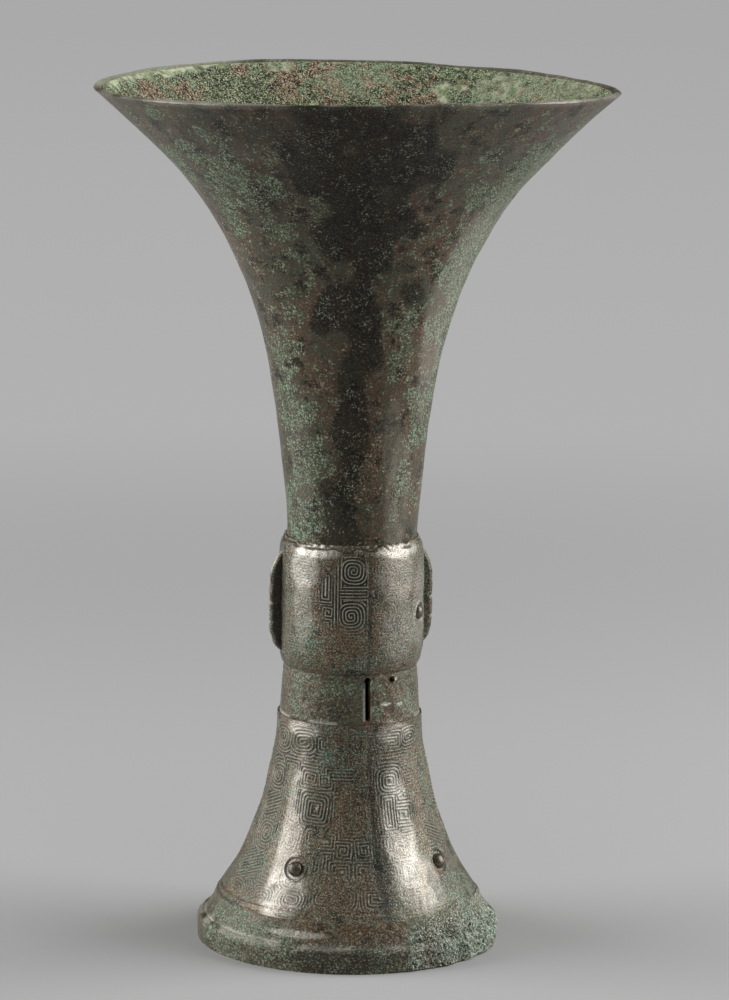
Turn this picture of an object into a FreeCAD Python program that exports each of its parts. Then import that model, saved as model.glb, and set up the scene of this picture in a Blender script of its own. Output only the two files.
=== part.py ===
import FreeCAD, Part
import math
import os

# A gu: a slender bronze wine beaker with a trumpet mouth, a belted knop and a bell-shaped hollow foot.
#
# The vessel stands on Z = 0 with its axis on Z. Its front mould seam faces -Y, and its two flanges lie
# on +X and -X. Sizes are in millimetres. Angles round the vessel are in degrees, from the front seam
# towards +X. Every profile is drawn in the half plane of +X and turned to its place.

V = FreeCAD.Vector
UP = V(0, 0, 1)
OUT = V(1, 0, 0)
CENTRE = V(0, 0, 0)

# Heights of the registers, from the ground up
BASE_HEIGHT = 7.6
CAVETTO_HEIGHT = 6.7
BELL_HEIGHT = 57.0
COLLAR_HEIGHT = 15.3
KNOP_HEIGHT = 40.1
TRUMPET_HEIGHT = 138.3
MOUTH_HEIGHT = 66.0

# Radii, and how far each register stands out past its neighbour
BASE_RADIUS = 46.4
BASE_SHELF = 2.1
CAVETTO_SPREAD = 3.5
BELL_STEP = 0.6
COLLAR_SPREAD = 1.1
COLLAR_STEP = 0.5
KNOP_STEP = 0.5
KNOP_BULGE = 1.9
STEM_RADIUS = 20.0
LIP_RADIUS = 79.5

# Walls
BASE_WALL = 3.4
BELL_WALL = 2.2
COLLAR_WALL = 2.2
KNOP_WALL = 2.4
TRUMPET_WALL = 2.0

# Edges: the rounded lip, the rounded shoulder of the base and the step inside the base
LIP_WIDTH = 2.4
LIP_CROWN = 0.7
LIP_SLOPE_ANGLE = 50.0
BASE_EDGE_RADIUS = 2.0
BASE_INNER_HEIGHT = 3.6

# Laps, where one register is seated inside the next
MOUTH_LAP = 4.0
STEM_LAP = 5.0
COLLAR_LAP = 4.0
BELL_LAP = 3.5
LAP_WALL_SHARE = 0.5

# Floor of the cup, with the bronze spacers that kept the two clay cores apart
FLOOR_THICKNESS = 2.5
FLOOR_DISH = 0.7
SPACER_SIDE = 4.5
SPACER_CIRCLE = 10.5
SPACER_COUNT = 3

# Flanges on the sides of the knop, each with a tenon let into the knop
FLANGE_LENGTH = 31.0
FLANGE_BELOW_STEM = 4.6
FLANGE_REACH = 3.6
FLANGE_THICKNESS = 2.8
FLANGE_TENON = 0.9
FLANGE_ANGLES = {"right": 90.0, "left": -90.0}

# Eyes of the masks: domed bosses on shanks, each in a sunk roundel, and one of them worn nearly flat
KNOP_EYE_RADIUS = 2.3
KNOP_EYE_DOME = 1.5
KNOP_ROUNDEL_RADIUS = 3.4
KNOP_EYE_HEIGHT = 17.4
KNOP_EYE_ANGLE = 55.0
FOOT_EYE_RADIUS = 2.6
FOOT_EYE_DOME = 1.9
FOOT_ROUNDEL_RADIUS = 3.8
FOOT_EYE_HEIGHT = 13.7
FOOT_EYE_ANGLE = 44.5
ROUNDEL_DEPTH = 0.4
WORN_EYE = "knop_eye_front_left"
WORN_EYE_DOME = 0.5
EYE_SHANK = 0.8

# Core openings of the collar: a slot with a round head on each seam, and one small vent
SLOT_LENGTH = 13.4
SLOT_WIDTH = 1.5
SLOT_HEAD_RADIUS = 1.0
SLOT_BELOW_KNOP = 0.6
VENT_RADIUS = 1.0
VENT_BELOW_KNOP = 1.9
VENT_ANGLE = 23.4
SEAM_ANGLES = (0.0, 180.0)

# Groove along each mould seam of the knop and the bell
SEAM_WIDTH = 0.9
SEAM_DEPTH = 0.3
KNOP_SEAM_MARGIN = 4.2
BELL_SEAM_MARGIN = 3.0

# Mineral crusts: a patch on the foot, and the lining of the mouth
CRUST_THICKNESS = 2.0
CRUST_WIDTH = 56.0
CRUST_HEIGHT = 19.5
CRUST_ABOVE_GROUND = 0.6
CRUST_ANGLE = 45.0
LINING_THICKNESS = 0.6
LINING_BELOW_LIP = 0.9
LINING_HEIGHT = 112.0

# Every cutter runs past what it cuts by this much
OVERRUN = 1.0

# Outlines of the registers: the share of the way along in height, then in radius
TRUMPET_SHARES = ((0.17, 0.031), (0.39, 0.104), (0.60, 0.254), (0.77, 0.481), (0.91, 0.777))
BELL_SHARES = ((0.165, 0.035), (0.34, 0.142), (0.50, 0.254), (0.655, 0.422), (0.80, 0.613), (0.90, 0.787))
CAVETTO_SAG_SHARE = 0.03

# Outline of the knop: the share of its height, then of its bulge
KNOP_SHARES = ((0.02, 0.27), (0.06, 0.56), (0.14, 0.86), (0.36, 0.98), (0.60, 1.0), (0.82, 0.94), (0.93, 0.72))

# Edge of a flange: the share of its length from the top, then of its reach from the knop
FLANGE_SHARES = (
    (0.00, 0.00), (0.05, 0.34), (0.15, 0.78), (0.26, 0.94), (0.40, 1.00), (0.485, 0.98), (0.51, 0.84),
    (0.535, 1.00), (0.675, 1.00), (0.70, 0.86), (0.725, 0.96), (0.80, 0.91), (0.91, 0.64), (1.00, 0.10),
)

# Edge of the patch of crust: the share of its width from the middle, then of its height
CRUST_SHARES = (
    (-0.50, 0.04), (-0.44, 0.26), (-0.34, 0.34), (-0.24, 0.62), (-0.06, 0.78), (0.12, 0.98),
    (0.34, 0.88), (0.50, 0.60), (0.46, 0.16), (0.28, 0.0), (-0.22, 0.0),
)

# Levels where one register ends and the next begins
CAVETTO_LEVEL = BASE_HEIGHT
BELL_LEVEL = CAVETTO_LEVEL + CAVETTO_HEIGHT
COLLAR_LEVEL = BELL_LEVEL + BELL_HEIGHT
KNOP_LEVEL = COLLAR_LEVEL + COLLAR_HEIGHT
TRUMPET_LEVEL = KNOP_LEVEL + KNOP_HEIGHT
LIP_LEVEL = TRUMPET_LEVEL + TRUMPET_HEIGHT
MOUTH_LEVEL = LIP_LEVEL - MOUTH_HEIGHT
STEM_FOOT_LEVEL = TRUMPET_LEVEL - STEM_LAP
FLOOR_UNDERSIDE = KNOP_LEVEL + COLLAR_LAP
FLOOR_LEVEL = FLOOR_UNDERSIDE + FLOOR_THICKNESS

# Radii that follow from the driving ones
STEM_BORE = STEM_RADIUS - TRUMPET_WALL
KNOP_EDGE_RADIUS = STEM_RADIUS + KNOP_STEP
KNOP_BELLY_RADIUS = KNOP_EDGE_RADIUS + KNOP_BULGE
COLLAR_TOP_RADIUS = STEM_RADIUS + COLLAR_STEP
COLLAR_FOOT_RADIUS = COLLAR_TOP_RADIUS + COLLAR_SPREAD
KNOP_SEAT_RADIUS = COLLAR_TOP_RADIUS - COLLAR_WALL * LAP_WALL_SHARE
BELL_SEAT_RADIUS = COLLAR_FOOT_RADIUS - COLLAR_WALL * LAP_WALL_SHARE
BELL_TOP_RADIUS = COLLAR_FOOT_RADIUS + BELL_STEP
CAVETTO_FOOT_RADIUS = BASE_RADIUS - BASE_SHELF
BELL_FOOT_RADIUS = CAVETTO_FOOT_RADIUS - CAVETTO_SPREAD


def at(radius, height):
    """A point of a profile."""
    return V(radius, 0, height)


def line(start, end):
    """A straight edge."""
    return Part.makeLine(start, end)


def rail(points, **tangents):
    """A smooth curve through the points, with the end directions it is given."""
    curve = Part.BSplineCurve()
    curve.interpolate(Points=points, **tangents)
    return curve


def outward(curve, point):
    """The direction square to a curve at one of its points, away from the axis."""
    tangent = curve.tangent(curve.parameter(point))[0]
    normal = V(tangent.z, 0, -tangent.x)
    return normal if normal.x > 0 else normal * -1


def sunk(curve, points, depth):
    """The points moved a depth inwards, square to the curve that runs through them."""
    return [point - outward(curve, point) * depth for point in points]


def point_at(curve, height):
    """The point of a curve at a height."""
    found = curve.intersectCS(Part.Plane(at(0, height), UP))[0][0]
    return V(found.X, found.Y, found.Z)


def divided(curve, level):
    """The two parts of a curve on either side of a level, in the order in which it runs."""
    first, second = curve.copy(), curve.copy()
    middle = curve.parameter(point_at(curve, level))
    first.segment(curve.FirstParameter, middle)
    second.segment(middle, curve.LastParameter)
    return first, second


def along(shares, start, end):
    """The points that lie at shares of the way from start to end, in height and in radius."""
    return [
        at(start.x + (end.x - start.x) * spread, start.z + (end.z - start.z) * height)
        for height, spread in shares
    ]


def lathe(edges):
    """The solid swept by a closed profile turned round the axis."""
    solid = Part.Face(Part.Wire(edges)).revolve(CENTRE, UP)
    return solid if solid.Volume > 0 else solid.reversed()


def core(curve, points, depth):
    """The full round body that lies a depth inside the outer curve of a register."""
    inner = rail(sunk(curve, points, depth))
    foot, top = inner.StartPoint, inner.EndPoint
    return lathe([
        inner.toShape(),
        line(top, at(0, top.z)),
        line(at(0, top.z), at(0, foot.z)),
        line(at(0, foot.z), foot),
    ])


def turned(shape, angle):
    """A copy of a shape drawn towards +X, turned to an angle from the front seam."""
    copy = shape.copy()
    copy.rotate(CENTRE, UP, angle - math.degrees(math.pi / 2))
    return copy


def seam_grooves(curve, points, low, high):
    """The cutters of the two upright grooves that follow a register between two levels."""
    reach = max(point.x for point in points) + OVERRUN
    blade = Part.makeBox(reach, SEAM_WIDTH, high - low, V(0, -SEAM_WIDTH / 2, low))
    blade = blade.cut(core(curve, points, SEAM_DEPTH))
    return [turned(blade, angle) for angle in SEAM_ANGLES]


def trumpet_walls():
    """The outer and the inner curve of mouth and stem together, from the knop to the lip."""
    slope = math.radians(LIP_SLOPE_ANGLE)
    ends = {"InitialTangent": UP, "FinalTangent": at(math.sin(slope), math.cos(slope))}
    stem, lip = at(STEM_RADIUS, TRUMPET_LEVEL), at(LIP_RADIUS, LIP_LEVEL - LIP_CROWN)
    between = along(TRUMPET_SHARES, stem, lip)
    outer = rail([stem, *between, lip], **ends)
    inner_points = sunk(outer, between, TRUMPET_WALL)
    inner = rail([at(STEM_BORE, stem.z), *inner_points, at(lip.x - LIP_WIDTH, lip.z)], **ends)
    return outer, inner


def mouth_lap(outer, inner):
    """The points of the lap between mouth and stem, from the outer wall down its seat to the inner wall."""
    depth = TRUMPET_WALL * LAP_WALL_SHARE
    ring, heel = [point_at(outer, level) for level in (MOUTH_LEVEL, MOUTH_LEVEL - MOUTH_LAP)]
    seat_top, seat_foot = sunk(outer, (ring, heel), depth)
    return [ring, seat_top, seat_foot, point_at(inner, seat_foot.z)]


def mouth():
    """The flared mouth with its rounded lip, whose thinned foot is seated in the stem."""
    outer, inner = trumpet_walls()
    lap = mouth_lap(outer, inner)
    crown = at(LIP_RADIUS - LIP_WIDTH / 2, LIP_LEVEL)
    return lathe([
        divided(outer, MOUTH_LEVEL)[1].toShape(),
        Part.Arc(outer.EndPoint, crown, inner.EndPoint).toShape(),
        divided(inner, lap[-1].z)[1].toShape(),
        *[line(a, b) for a, b in zip(lap, lap[1:])],
    ])


def stem():
    """The slender stem below the mouth, with the straight end that is seated in the knop."""
    outer, inner = trumpet_walls()
    lap = mouth_lap(outer, inner)
    foot_out, foot_in = at(STEM_RADIUS, STEM_FOOT_LEVEL), at(STEM_BORE, STEM_FOOT_LEVEL)
    return lathe([
        divided(outer, MOUTH_LEVEL)[0].toShape(),
        *[line(a, b) for a, b in zip(lap, lap[1:])],
        divided(inner, lap[-1].z)[0].toShape(),
        line(inner.StartPoint, foot_in),
        line(foot_in, foot_out),
        line(foot_out, outer.StartPoint),
    ])


def knop_points():
    """The points of the knop's outer curve, from its lower edge to its upper edge."""
    low, high = at(KNOP_EDGE_RADIUS, KNOP_LEVEL), at(KNOP_EDGE_RADIUS, TRUMPET_LEVEL)
    belly = along(KNOP_SHARES, low, at(KNOP_BELLY_RADIUS, TRUMPET_LEVEL))
    return [low, *belly, high]


def knop(inlays):
    """The knop: a barrel with seats for stem, floor and collar, its seams, and the sockets of its inlays."""
    points = knop_points()
    outer = rail(points)
    hollow_middle = at(KNOP_BELLY_RADIUS - KNOP_WALL, (FLOOR_LEVEL + STEM_FOOT_LEVEL) / 2)
    hollow_low, hollow_high = at(STEM_BORE, FLOOR_LEVEL), at(STEM_BORE, STEM_FOOT_LEVEL)
    stem_seat = [
        at(KNOP_EDGE_RADIUS, TRUMPET_LEVEL),
        at(STEM_RADIUS, TRUMPET_LEVEL),
        at(STEM_RADIUS, STEM_FOOT_LEVEL),
        hollow_high,
    ]
    floor_seat = [
        hollow_low,
        at(KNOP_SEAT_RADIUS, FLOOR_LEVEL),
        at(KNOP_SEAT_RADIUS, KNOP_LEVEL),
        at(KNOP_EDGE_RADIUS, KNOP_LEVEL),
    ]
    body = lathe([
        outer.toShape(),
        *[line(a, b) for a, b in zip(stem_seat, stem_seat[1:])],
        Part.Arc(hollow_high, hollow_middle, hollow_low).toShape(),
        *[line(a, b) for a, b in zip(floor_seat, floor_seat[1:])],
    ])
    low, high = KNOP_LEVEL + KNOP_SEAM_MARGIN, TRUMPET_LEVEL - KNOP_SEAM_MARGIN
    for cutter in [*seam_grooves(outer, points, low, high), *inlays]:
        body = body.cut(cutter)
    return body


def flange(angle):
    """A flange: a plate with a notched edge and sloped ends, whose tenon follows the knop's curve."""
    points = knop_points()
    outer = rail(points)
    top = TRUMPET_LEVEL - FLANGE_BELOW_STEM
    tip = KNOP_BELLY_RADIUS + FLANGE_REACH
    edge = []
    for height, reach in FLANGE_SHARES:
        wall = point_at(outer, top - FLANGE_LENGTH * height)
        edge.append(V(wall.x + (tip - wall.x) * reach, -FLANGE_THICKNESS / 2, wall.z))
    root = [V(STEM_BORE, -FLANGE_THICKNESS / 2, end.z) for end in (edge[-1], edge[0])]
    plate = Part.Face(Part.makePolygon([*edge, *root, edge[0]])).extrude(V(0, FLANGE_THICKNESS, 0))
    return turned(plate.cut(core(outer, points, FLANGE_TENON)), angle)


def eye(wall, out, radius, dome):
    """A domed boss on a straight shank, square to a wall and seated in its roundel."""
    seat = wall - out * ROUNDEL_DEPTH
    ball_radius = (radius * radius + dome * dome) / (2 * dome)
    ball = Part.makeSphere(ball_radius, seat + out * (dome - ball_radius), out)
    cap = ball.common(Part.makeCylinder(radius, ball_radius + dome, seat, out))
    shank = Part.makeCylinder(radius, EYE_SHANK, seat - out * EYE_SHANK, out)
    return shank.fuse(cap).removeSplitter()


def mask_eyes(register, points, level, spread, radius, dome, roundel_radius):
    """The four eyes of a register by name, one of them worn flat, and the cutters of their seats."""
    curve = rail(points)
    wall = point_at(curve, level)
    out = outward(curve, wall)
    boss, worn_boss = eye(wall, out, radius, dome), eye(wall, out, radius, WORN_EYE_DOME)
    roundel = Part.makeCylinder(roundel_radius, ROUNDEL_DEPTH + OVERRUN, wall - out * ROUNDEL_DEPTH, out)
    bodies, sockets = {}, []
    for side, seam in zip(("front", "back"), SEAM_ANGLES):
        for hand, turn in (("right", spread), ("left", -spread)):
            name = f"{register}_eye_{side}_{hand}"
            body = turned(worn_boss if name == WORN_EYE else boss, seam + turn)
            bodies[name] = body
            sockets += [body, turned(roundel, seam + turn)]
    return bodies, sockets


def cup_floor():
    """The dished floor of the cup, and the square bronze spacers that are cast into it."""
    outline = [
        at(0, FLOOR_UNDERSIDE),
        at(KNOP_SEAT_RADIUS, FLOOR_UNDERSIDE),
        at(KNOP_SEAT_RADIUS, FLOOR_LEVEL),
        at(STEM_BORE, FLOOR_LEVEL),
        at(0, FLOOR_LEVEL - FLOOR_DISH),
    ]
    plate = lathe([line(a, b) for a, b in zip(outline, outline[1:] + outline[:1])])
    corner = V(SPACER_CIRCLE - SPACER_SIDE / 2, -SPACER_SIDE / 2, FLOOR_UNDERSIDE - OVERRUN)
    post = Part.makeBox(SPACER_SIDE, SPACER_SIDE, FLOOR_THICKNESS + 2 * OVERRUN, corner)
    step = math.degrees(2 * math.pi) / SPACER_COUNT
    spacers = [plate.common(turned(post, step * i)) for i in range(SPACER_COUNT)]
    for spacer in spacers:
        plate = plate.cut(spacer)
    return plate, spacers


def collar():
    """The plain neck between knop and bell, with a lap at each end, its core slots and its vent."""
    bore_top, bore_foot = COLLAR_TOP_RADIUS - COLLAR_WALL, COLLAR_FOOT_RADIUS - COLLAR_WALL
    outline = [
        at(COLLAR_FOOT_RADIUS, COLLAR_LEVEL),
        at(COLLAR_TOP_RADIUS, KNOP_LEVEL),
        at(KNOP_SEAT_RADIUS, KNOP_LEVEL),
        at(KNOP_SEAT_RADIUS, FLOOR_UNDERSIDE),
        at(bore_top, FLOOR_UNDERSIDE),
        at(bore_top, KNOP_LEVEL),
        at(bore_foot, COLLAR_LEVEL),
        at(bore_foot, COLLAR_LEVEL - BELL_LAP),
        at(BELL_SEAT_RADIUS, COLLAR_LEVEL - BELL_LAP),
        at(BELL_SEAT_RADIUS, COLLAR_LEVEL),
    ]
    body = lathe([line(a, b) for a, b in zip(outline, outline[1:] + outline[:1])])
    start = bore_top - COLLAR_WALL
    reach = COLLAR_FOOT_RADIUS + OVERRUN - start
    slot_top = KNOP_LEVEL - SLOT_BELOW_KNOP
    blade_corner = V(start, -SLOT_WIDTH / 2, slot_top - SLOT_LENGTH)
    blade = Part.makeBox(reach, SLOT_WIDTH, SLOT_LENGTH - SLOT_HEAD_RADIUS, blade_corner)
    head = Part.makeCylinder(SLOT_HEAD_RADIUS, reach, at(start, slot_top - SLOT_HEAD_RADIUS), OUT)
    for angle in SEAM_ANGLES:
        body = body.cut(turned(blade.fuse(head), angle))
    vent = Part.makeCylinder(VENT_RADIUS, reach, at(start, KNOP_LEVEL - VENT_BELOW_KNOP), OUT)
    return body.cut(turned(vent, VENT_ANGLE))


def bell_points():
    """The points of the bell's outer curve, from its top down to the cavetto."""
    top, foot = at(BELL_TOP_RADIUS, COLLAR_LEVEL), at(BELL_FOOT_RADIUS, BELL_LEVEL)
    return [top, *along(BELL_SHARES, top, foot), foot]


def bell_bore():
    """The inner curve of the bell, a wall's thickness inside the outer one, down to the same level."""
    points = bell_points()
    outer = rail(points)
    foot = points[-1]
    inner_foot = at(foot.x - BELL_WALL / outward(outer, foot).x, foot.z)
    ledge = at(COLLAR_FOOT_RADIUS - COLLAR_WALL, COLLAR_LEVEL - BELL_LAP)
    return rail([ledge, *sunk(outer, points[1:-1], BELL_WALL), inner_foot])


def bell(inlays):
    """The bell with the collar's seat at its top, its seams, and the sockets of its inlays."""
    points = bell_points()
    outer, inner = rail(points), bell_bore()
    seat_top, seat_foot = at(BELL_SEAT_RADIUS, COLLAR_LEVEL), at(BELL_SEAT_RADIUS, COLLAR_LEVEL - BELL_LAP)
    body = lathe([
        outer.toShape(),
        line(outer.EndPoint, inner.EndPoint),
        inner.toShape(),
        line(inner.StartPoint, seat_foot),
        line(seat_foot, seat_top),
        line(seat_top, outer.StartPoint),
    ])
    low, high = BELL_LEVEL + BELL_SEAM_MARGIN, COLLAR_LEVEL - BELL_SEAM_MARGIN
    for cutter in [*seam_grooves(outer, points, low, high), *inlays]:
        body = body.cut(cutter)
    return body


def base_face(ground):
    """The outer edges of the base, from the bell's foot over cavetto and shoulder down to a level."""
    bell_foot, shelf = at(BELL_FOOT_RADIUS, BELL_LEVEL), at(CAVETTO_FOOT_RADIUS, CAVETTO_LEVEL)
    sag = V(-CAVETTO_HEIGHT, 0, -CAVETTO_SPREAD) * CAVETTO_SAG_SHARE
    shoulder = at(BASE_RADIUS - BASE_EDGE_RADIUS, CAVETTO_LEVEL)
    side = at(BASE_RADIUS, CAVETTO_LEVEL - BASE_EDGE_RADIUS)
    bow = (OUT + UP).normalize() * BASE_EDGE_RADIUS
    return [
        rail([bell_foot, (bell_foot + shelf) * 0.5 + sag, shelf]).toShape(),
        line(shelf, shoulder),
        Part.Arc(shoulder, at(shoulder.x, side.z) + bow, side).toShape(),
        line(side, at(BASE_RADIUS, ground)),
    ]


def base():
    """The foot rim with its upright face and rounded shoulder, and the cavetto that carries the bell."""
    bell_foot, bell_inner_foot = at(BELL_FOOT_RADIUS, BELL_LEVEL), bell_bore().EndPoint
    bore = BASE_RADIUS - BASE_WALL
    inside = [at(BASE_RADIUS, 0), at(bore, 0), at(bore, BASE_INNER_HEIGHT), bell_inner_foot, bell_foot]
    return lathe([*base_face(0), *[line(a, b) for a, b in zip(inside, inside[1:])]])


def foot_crust():
    """The mineral patch: a skin from the bell over the cavetto to the rim, with a wandering edge."""
    outer = rail(bell_points())
    top = point_at(outer, CRUST_ABOVE_GROUND + CRUST_HEIGHT)
    backing = divided(outer, top.z)[1]
    rise = outer.tangent(outer.parameter(top))[0] * -1
    skin_top = top + outward(outer, top) * CRUST_THICKNESS
    skin_middle = at(CAVETTO_FOOT_RADIUS, BELL_LEVEL) + (OUT + UP) * (CRUST_THICKNESS / 2)
    skin_side = at(BASE_RADIUS + CRUST_THICKNESS, CAVETTO_LEVEL - BASE_EDGE_RADIUS)
    skin_foot = at(BASE_RADIUS + CRUST_THICKNESS, CRUST_ABOVE_GROUND)
    skin = rail([skin_side, skin_middle, skin_top], InitialTangent=UP, FinalTangent=rise)
    body = lathe([
        backing.toShape(),
        *base_face(CRUST_ABOVE_GROUND),
        line(at(BASE_RADIUS, CRUST_ABOVE_GROUND), skin_foot),
        line(skin_foot, skin_side),
        skin.toShape(),
        line(skin_top, top),
    ])
    outline = [V(0, CRUST_WIDTH * across, CRUST_ABOVE_GROUND + CRUST_HEIGHT * up) for across, up in CRUST_SHARES]
    edge = Part.BSplineCurve()
    edge.interpolate(Points=outline, PeriodicFlag=True)
    reach = OUT * (BASE_RADIUS + CRUST_THICKNESS + OVERRUN)
    patch = Part.Face(Part.Wire(edge.toShape())).extrude(reach)
    return body.common(turned(patch, CRUST_ANGLE))


def mouth_lining():
    """The mineral lining of the mouth: a thin skin on the inner face of the trumpet's wall."""
    wall = trumpet_walls()[1]
    top = LIP_LEVEL - LINING_BELOW_LIP
    foot = top - LINING_HEIGHT
    backing = divided(divided(wall, foot)[1], top)[0]
    stops = [0.0, *[height for height, _ in TRUMPET_SHARES[1:]], 1.0]
    points = [point_at(wall, foot + LINING_HEIGHT * stop) for stop in stops]
    face = rail(sunk(wall, points, LINING_THICKNESS))
    return lathe([
        backing.toShape(),
        line(backing.EndPoint, face.EndPoint),
        face.toShape(),
        line(face.StartPoint, backing.StartPoint),
    ])


def build():
    """Every piece of the vessel by its name."""
    knop_eyes, knop_sockets = mask_eyes("knop", knop_points(), KNOP_LEVEL + KNOP_EYE_HEIGHT, KNOP_EYE_ANGLE,
                                        KNOP_EYE_RADIUS, KNOP_EYE_DOME, KNOP_ROUNDEL_RADIUS)
    foot_eyes, bell_sockets = mask_eyes("foot", bell_points(), BELL_LEVEL + FOOT_EYE_HEIGHT, FOOT_EYE_ANGLE,
                                        FOOT_EYE_RADIUS, FOOT_EYE_DOME, FOOT_ROUNDEL_RADIUS)
    flanges = {f"flange_{hand}": flange(angle) for hand, angle in FLANGE_ANGLES.items()}
    floor_plate, spacers = cup_floor()
    return {
        "mouth": mouth(),
        "stem": stem(),
        "knop": knop([*knop_sockets, *flanges.values()]),
        "cup_floor": floor_plate,
        "collar": collar(),
        "bell": bell(bell_sockets),
        "base": base(),
        **flanges,
        **knop_eyes,
        **foot_eyes,
        **{f"floor_spacer_{i + 1}": spacer for i, spacer in enumerate(spacers)},
        "foot_crust": foot_crust(),
        "mouth_lining": mouth_lining(),
    }


def main():
    """Writes one file for each piece, and prints what it holds."""
    os.makedirs("parts", exist_ok=True)
    for name, shape in build().items():
        box = shape.BoundBox
        print(f"{name:22s} solids {len(shape.Solids)} valid {shape.isValid()} volume {shape.Volume:9.2f} "
              f"z {box.ZMin:7.2f} to {box.ZMax:7.2f}")
        shape.exportStep(f"parts/{name}.step")


main()
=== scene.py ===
import logging
import math
from collections.abc import Callable, Sequence
from dataclasses import dataclass
from enum import Enum

import bpy
import numpy as np
from mathutils import Matrix, Vector


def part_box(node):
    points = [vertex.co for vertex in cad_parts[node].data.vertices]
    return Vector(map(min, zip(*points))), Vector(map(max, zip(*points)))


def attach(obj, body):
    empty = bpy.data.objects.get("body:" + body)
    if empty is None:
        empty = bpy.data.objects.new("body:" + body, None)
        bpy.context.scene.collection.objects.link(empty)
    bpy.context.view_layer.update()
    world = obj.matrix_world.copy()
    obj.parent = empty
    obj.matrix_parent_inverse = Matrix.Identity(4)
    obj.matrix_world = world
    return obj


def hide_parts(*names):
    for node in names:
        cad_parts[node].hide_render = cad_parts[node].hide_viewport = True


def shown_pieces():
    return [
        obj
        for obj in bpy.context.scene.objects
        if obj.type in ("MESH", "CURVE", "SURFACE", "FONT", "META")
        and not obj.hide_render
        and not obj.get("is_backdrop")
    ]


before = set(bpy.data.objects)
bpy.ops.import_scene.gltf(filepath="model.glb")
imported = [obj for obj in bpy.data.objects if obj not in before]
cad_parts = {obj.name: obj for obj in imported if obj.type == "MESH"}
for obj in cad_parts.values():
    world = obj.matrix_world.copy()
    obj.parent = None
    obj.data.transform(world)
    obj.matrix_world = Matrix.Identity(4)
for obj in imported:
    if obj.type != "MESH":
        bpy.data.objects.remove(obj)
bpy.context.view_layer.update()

# A gu: a slender bronze wine beaker. Lengths are millimetres until a mesh is made, the axis is Z, and
# angles are degrees round the vessel from its front mould seam (-Y) towards +X. The two faces of the
# vessel carry the same ornament, so a pattern that belongs to a face repeats every half turn. A spot of
# a finish is given as its angle, height, half angle, half height and amount. The shares of a profile are
# the parts of its height and of its reach from the axis, one pair for each place that it runs through.

MM = 0.001
HALF_TURN, FULL_TURN = 180.0, 360.0
WORN_EYE, WORN_EYE_SHARE = "knop_eye_front_left", 0.2
FACES = ("front", 0.0), ("back", HALF_TURN)
HANDS = ("right", 1.0), ("left", -1.0)
Array = np.ndarray
Colour = tuple[float, float, float]
Spots = tuple[tuple[float, float, float, float, float], ...]
Surface = tuple[Array, Array, Sequence[Array]]
log = logging.getLogger("gu")


class Slot(Enum):
    """The material slots of the part's record."""

    DARK = "dark_bronze"
    WORN = "worn_bronze"
    SPACER = "spacer_bronze"
    CRUST = "mineral_crust"


def top_of(node: str) -> float:
    """The highest level of a solid, in millimetres."""
    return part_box(node)[1].z / MM


def foot_of(node: str) -> float:
    """The lowest level of a solid, in millimetres."""
    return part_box(node)[0].z / MM


# Numbers and fields

def ease(value: Array) -> Array:
    """Smooth step: t * t * (3 - 2 t) of the value held between 0 and 1."""
    held = np.clip(value, 0.0, 1.0)
    return held * held * (3.0 - 2.0 * held)


def between(value: Array, low: float, high: float, soft: float) -> Array:
    """One between two limits and none outside them, with smooth steps of a soft width."""
    return ease((value - low) / soft) * ease((high - value) / soft)


def hump(distance: Array, width: float) -> Array:
    """A bell-shaped rise: exp(-(distance / width)^2)."""
    return np.exp(-((distance / width) ** 2))


def wrapped(angle: Array, period: float) -> Array:
    """An angle brought into the half period on either side of zero."""
    return (angle + period / 2) % period - period / 2


def all_round(columns: int) -> Array:
    """The angles of the columns of a whole ring."""
    return np.arange(columns) * FULL_TURN / columns


def run_of(places: Array) -> Array:
    """The length along a line, from its start to each of its places."""
    return np.concatenate([[0.0], np.cumsum(np.linalg.norm(np.diff(places, axis=0), axis=1))])


def round_axis(radius: Array, angle: Array, height: Array) -> Array:
    """Places round the axis: (r sin a, -r cos a, z)."""
    turn = np.radians(angle)
    return np.stack(np.broadcast_arrays(radius * np.sin(turn), -radius * np.cos(turn), height), axis=-1)


def ripples(points: Array, wavelength: float, seed: int) -> Array:
    """A random field with a spread of about one: a sum of cosines that run in random directions.

    Args:
        points: places in millimetres, with x, y and z along the last axis.
        wavelength: the usual distance from crest to crest.
        seed: the number that settles directions and phases.

    Returns:
        The field at each place: the sum over waves of cos(2 pi place.direction / length + phase),
        divided by the square root of half the number of waves.
    """
    waves, shortest, longest = 22, 0.7, 1.45
    rng = np.random.default_rng(seed)
    directions = rng.normal(size=(waves, 3))
    directions /= np.linalg.norm(directions, axis=1, keepdims=True)
    lengths = wavelength * rng.uniform(shortest, longest, waves)
    phases = rng.uniform(0.0, 2 * math.pi, waves)
    total = np.zeros(points.shape[:-1])
    for direction, length, phase in zip(directions, lengths, phases):
        total += np.cos(points @ (direction * (2 * math.pi / length)) + phase)
    return total / math.sqrt(waves / 2)


def swells(points: Array, *waves: tuple[float, float, int], base: float = 0.0) -> Array:
    """A base and ripples added to it, each given as its amount, wavelength and seed."""
    return sum((amount * ripples(points, length, seed) for amount, length, seed in waves), base)


def spotted(points: Array, base: float, *waves: tuple[float, float, int]) -> Array:
    """Random spots from 0 to 1: the smooth step of swells about a base."""
    return ease(swells(points, *waves, base=base))


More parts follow.
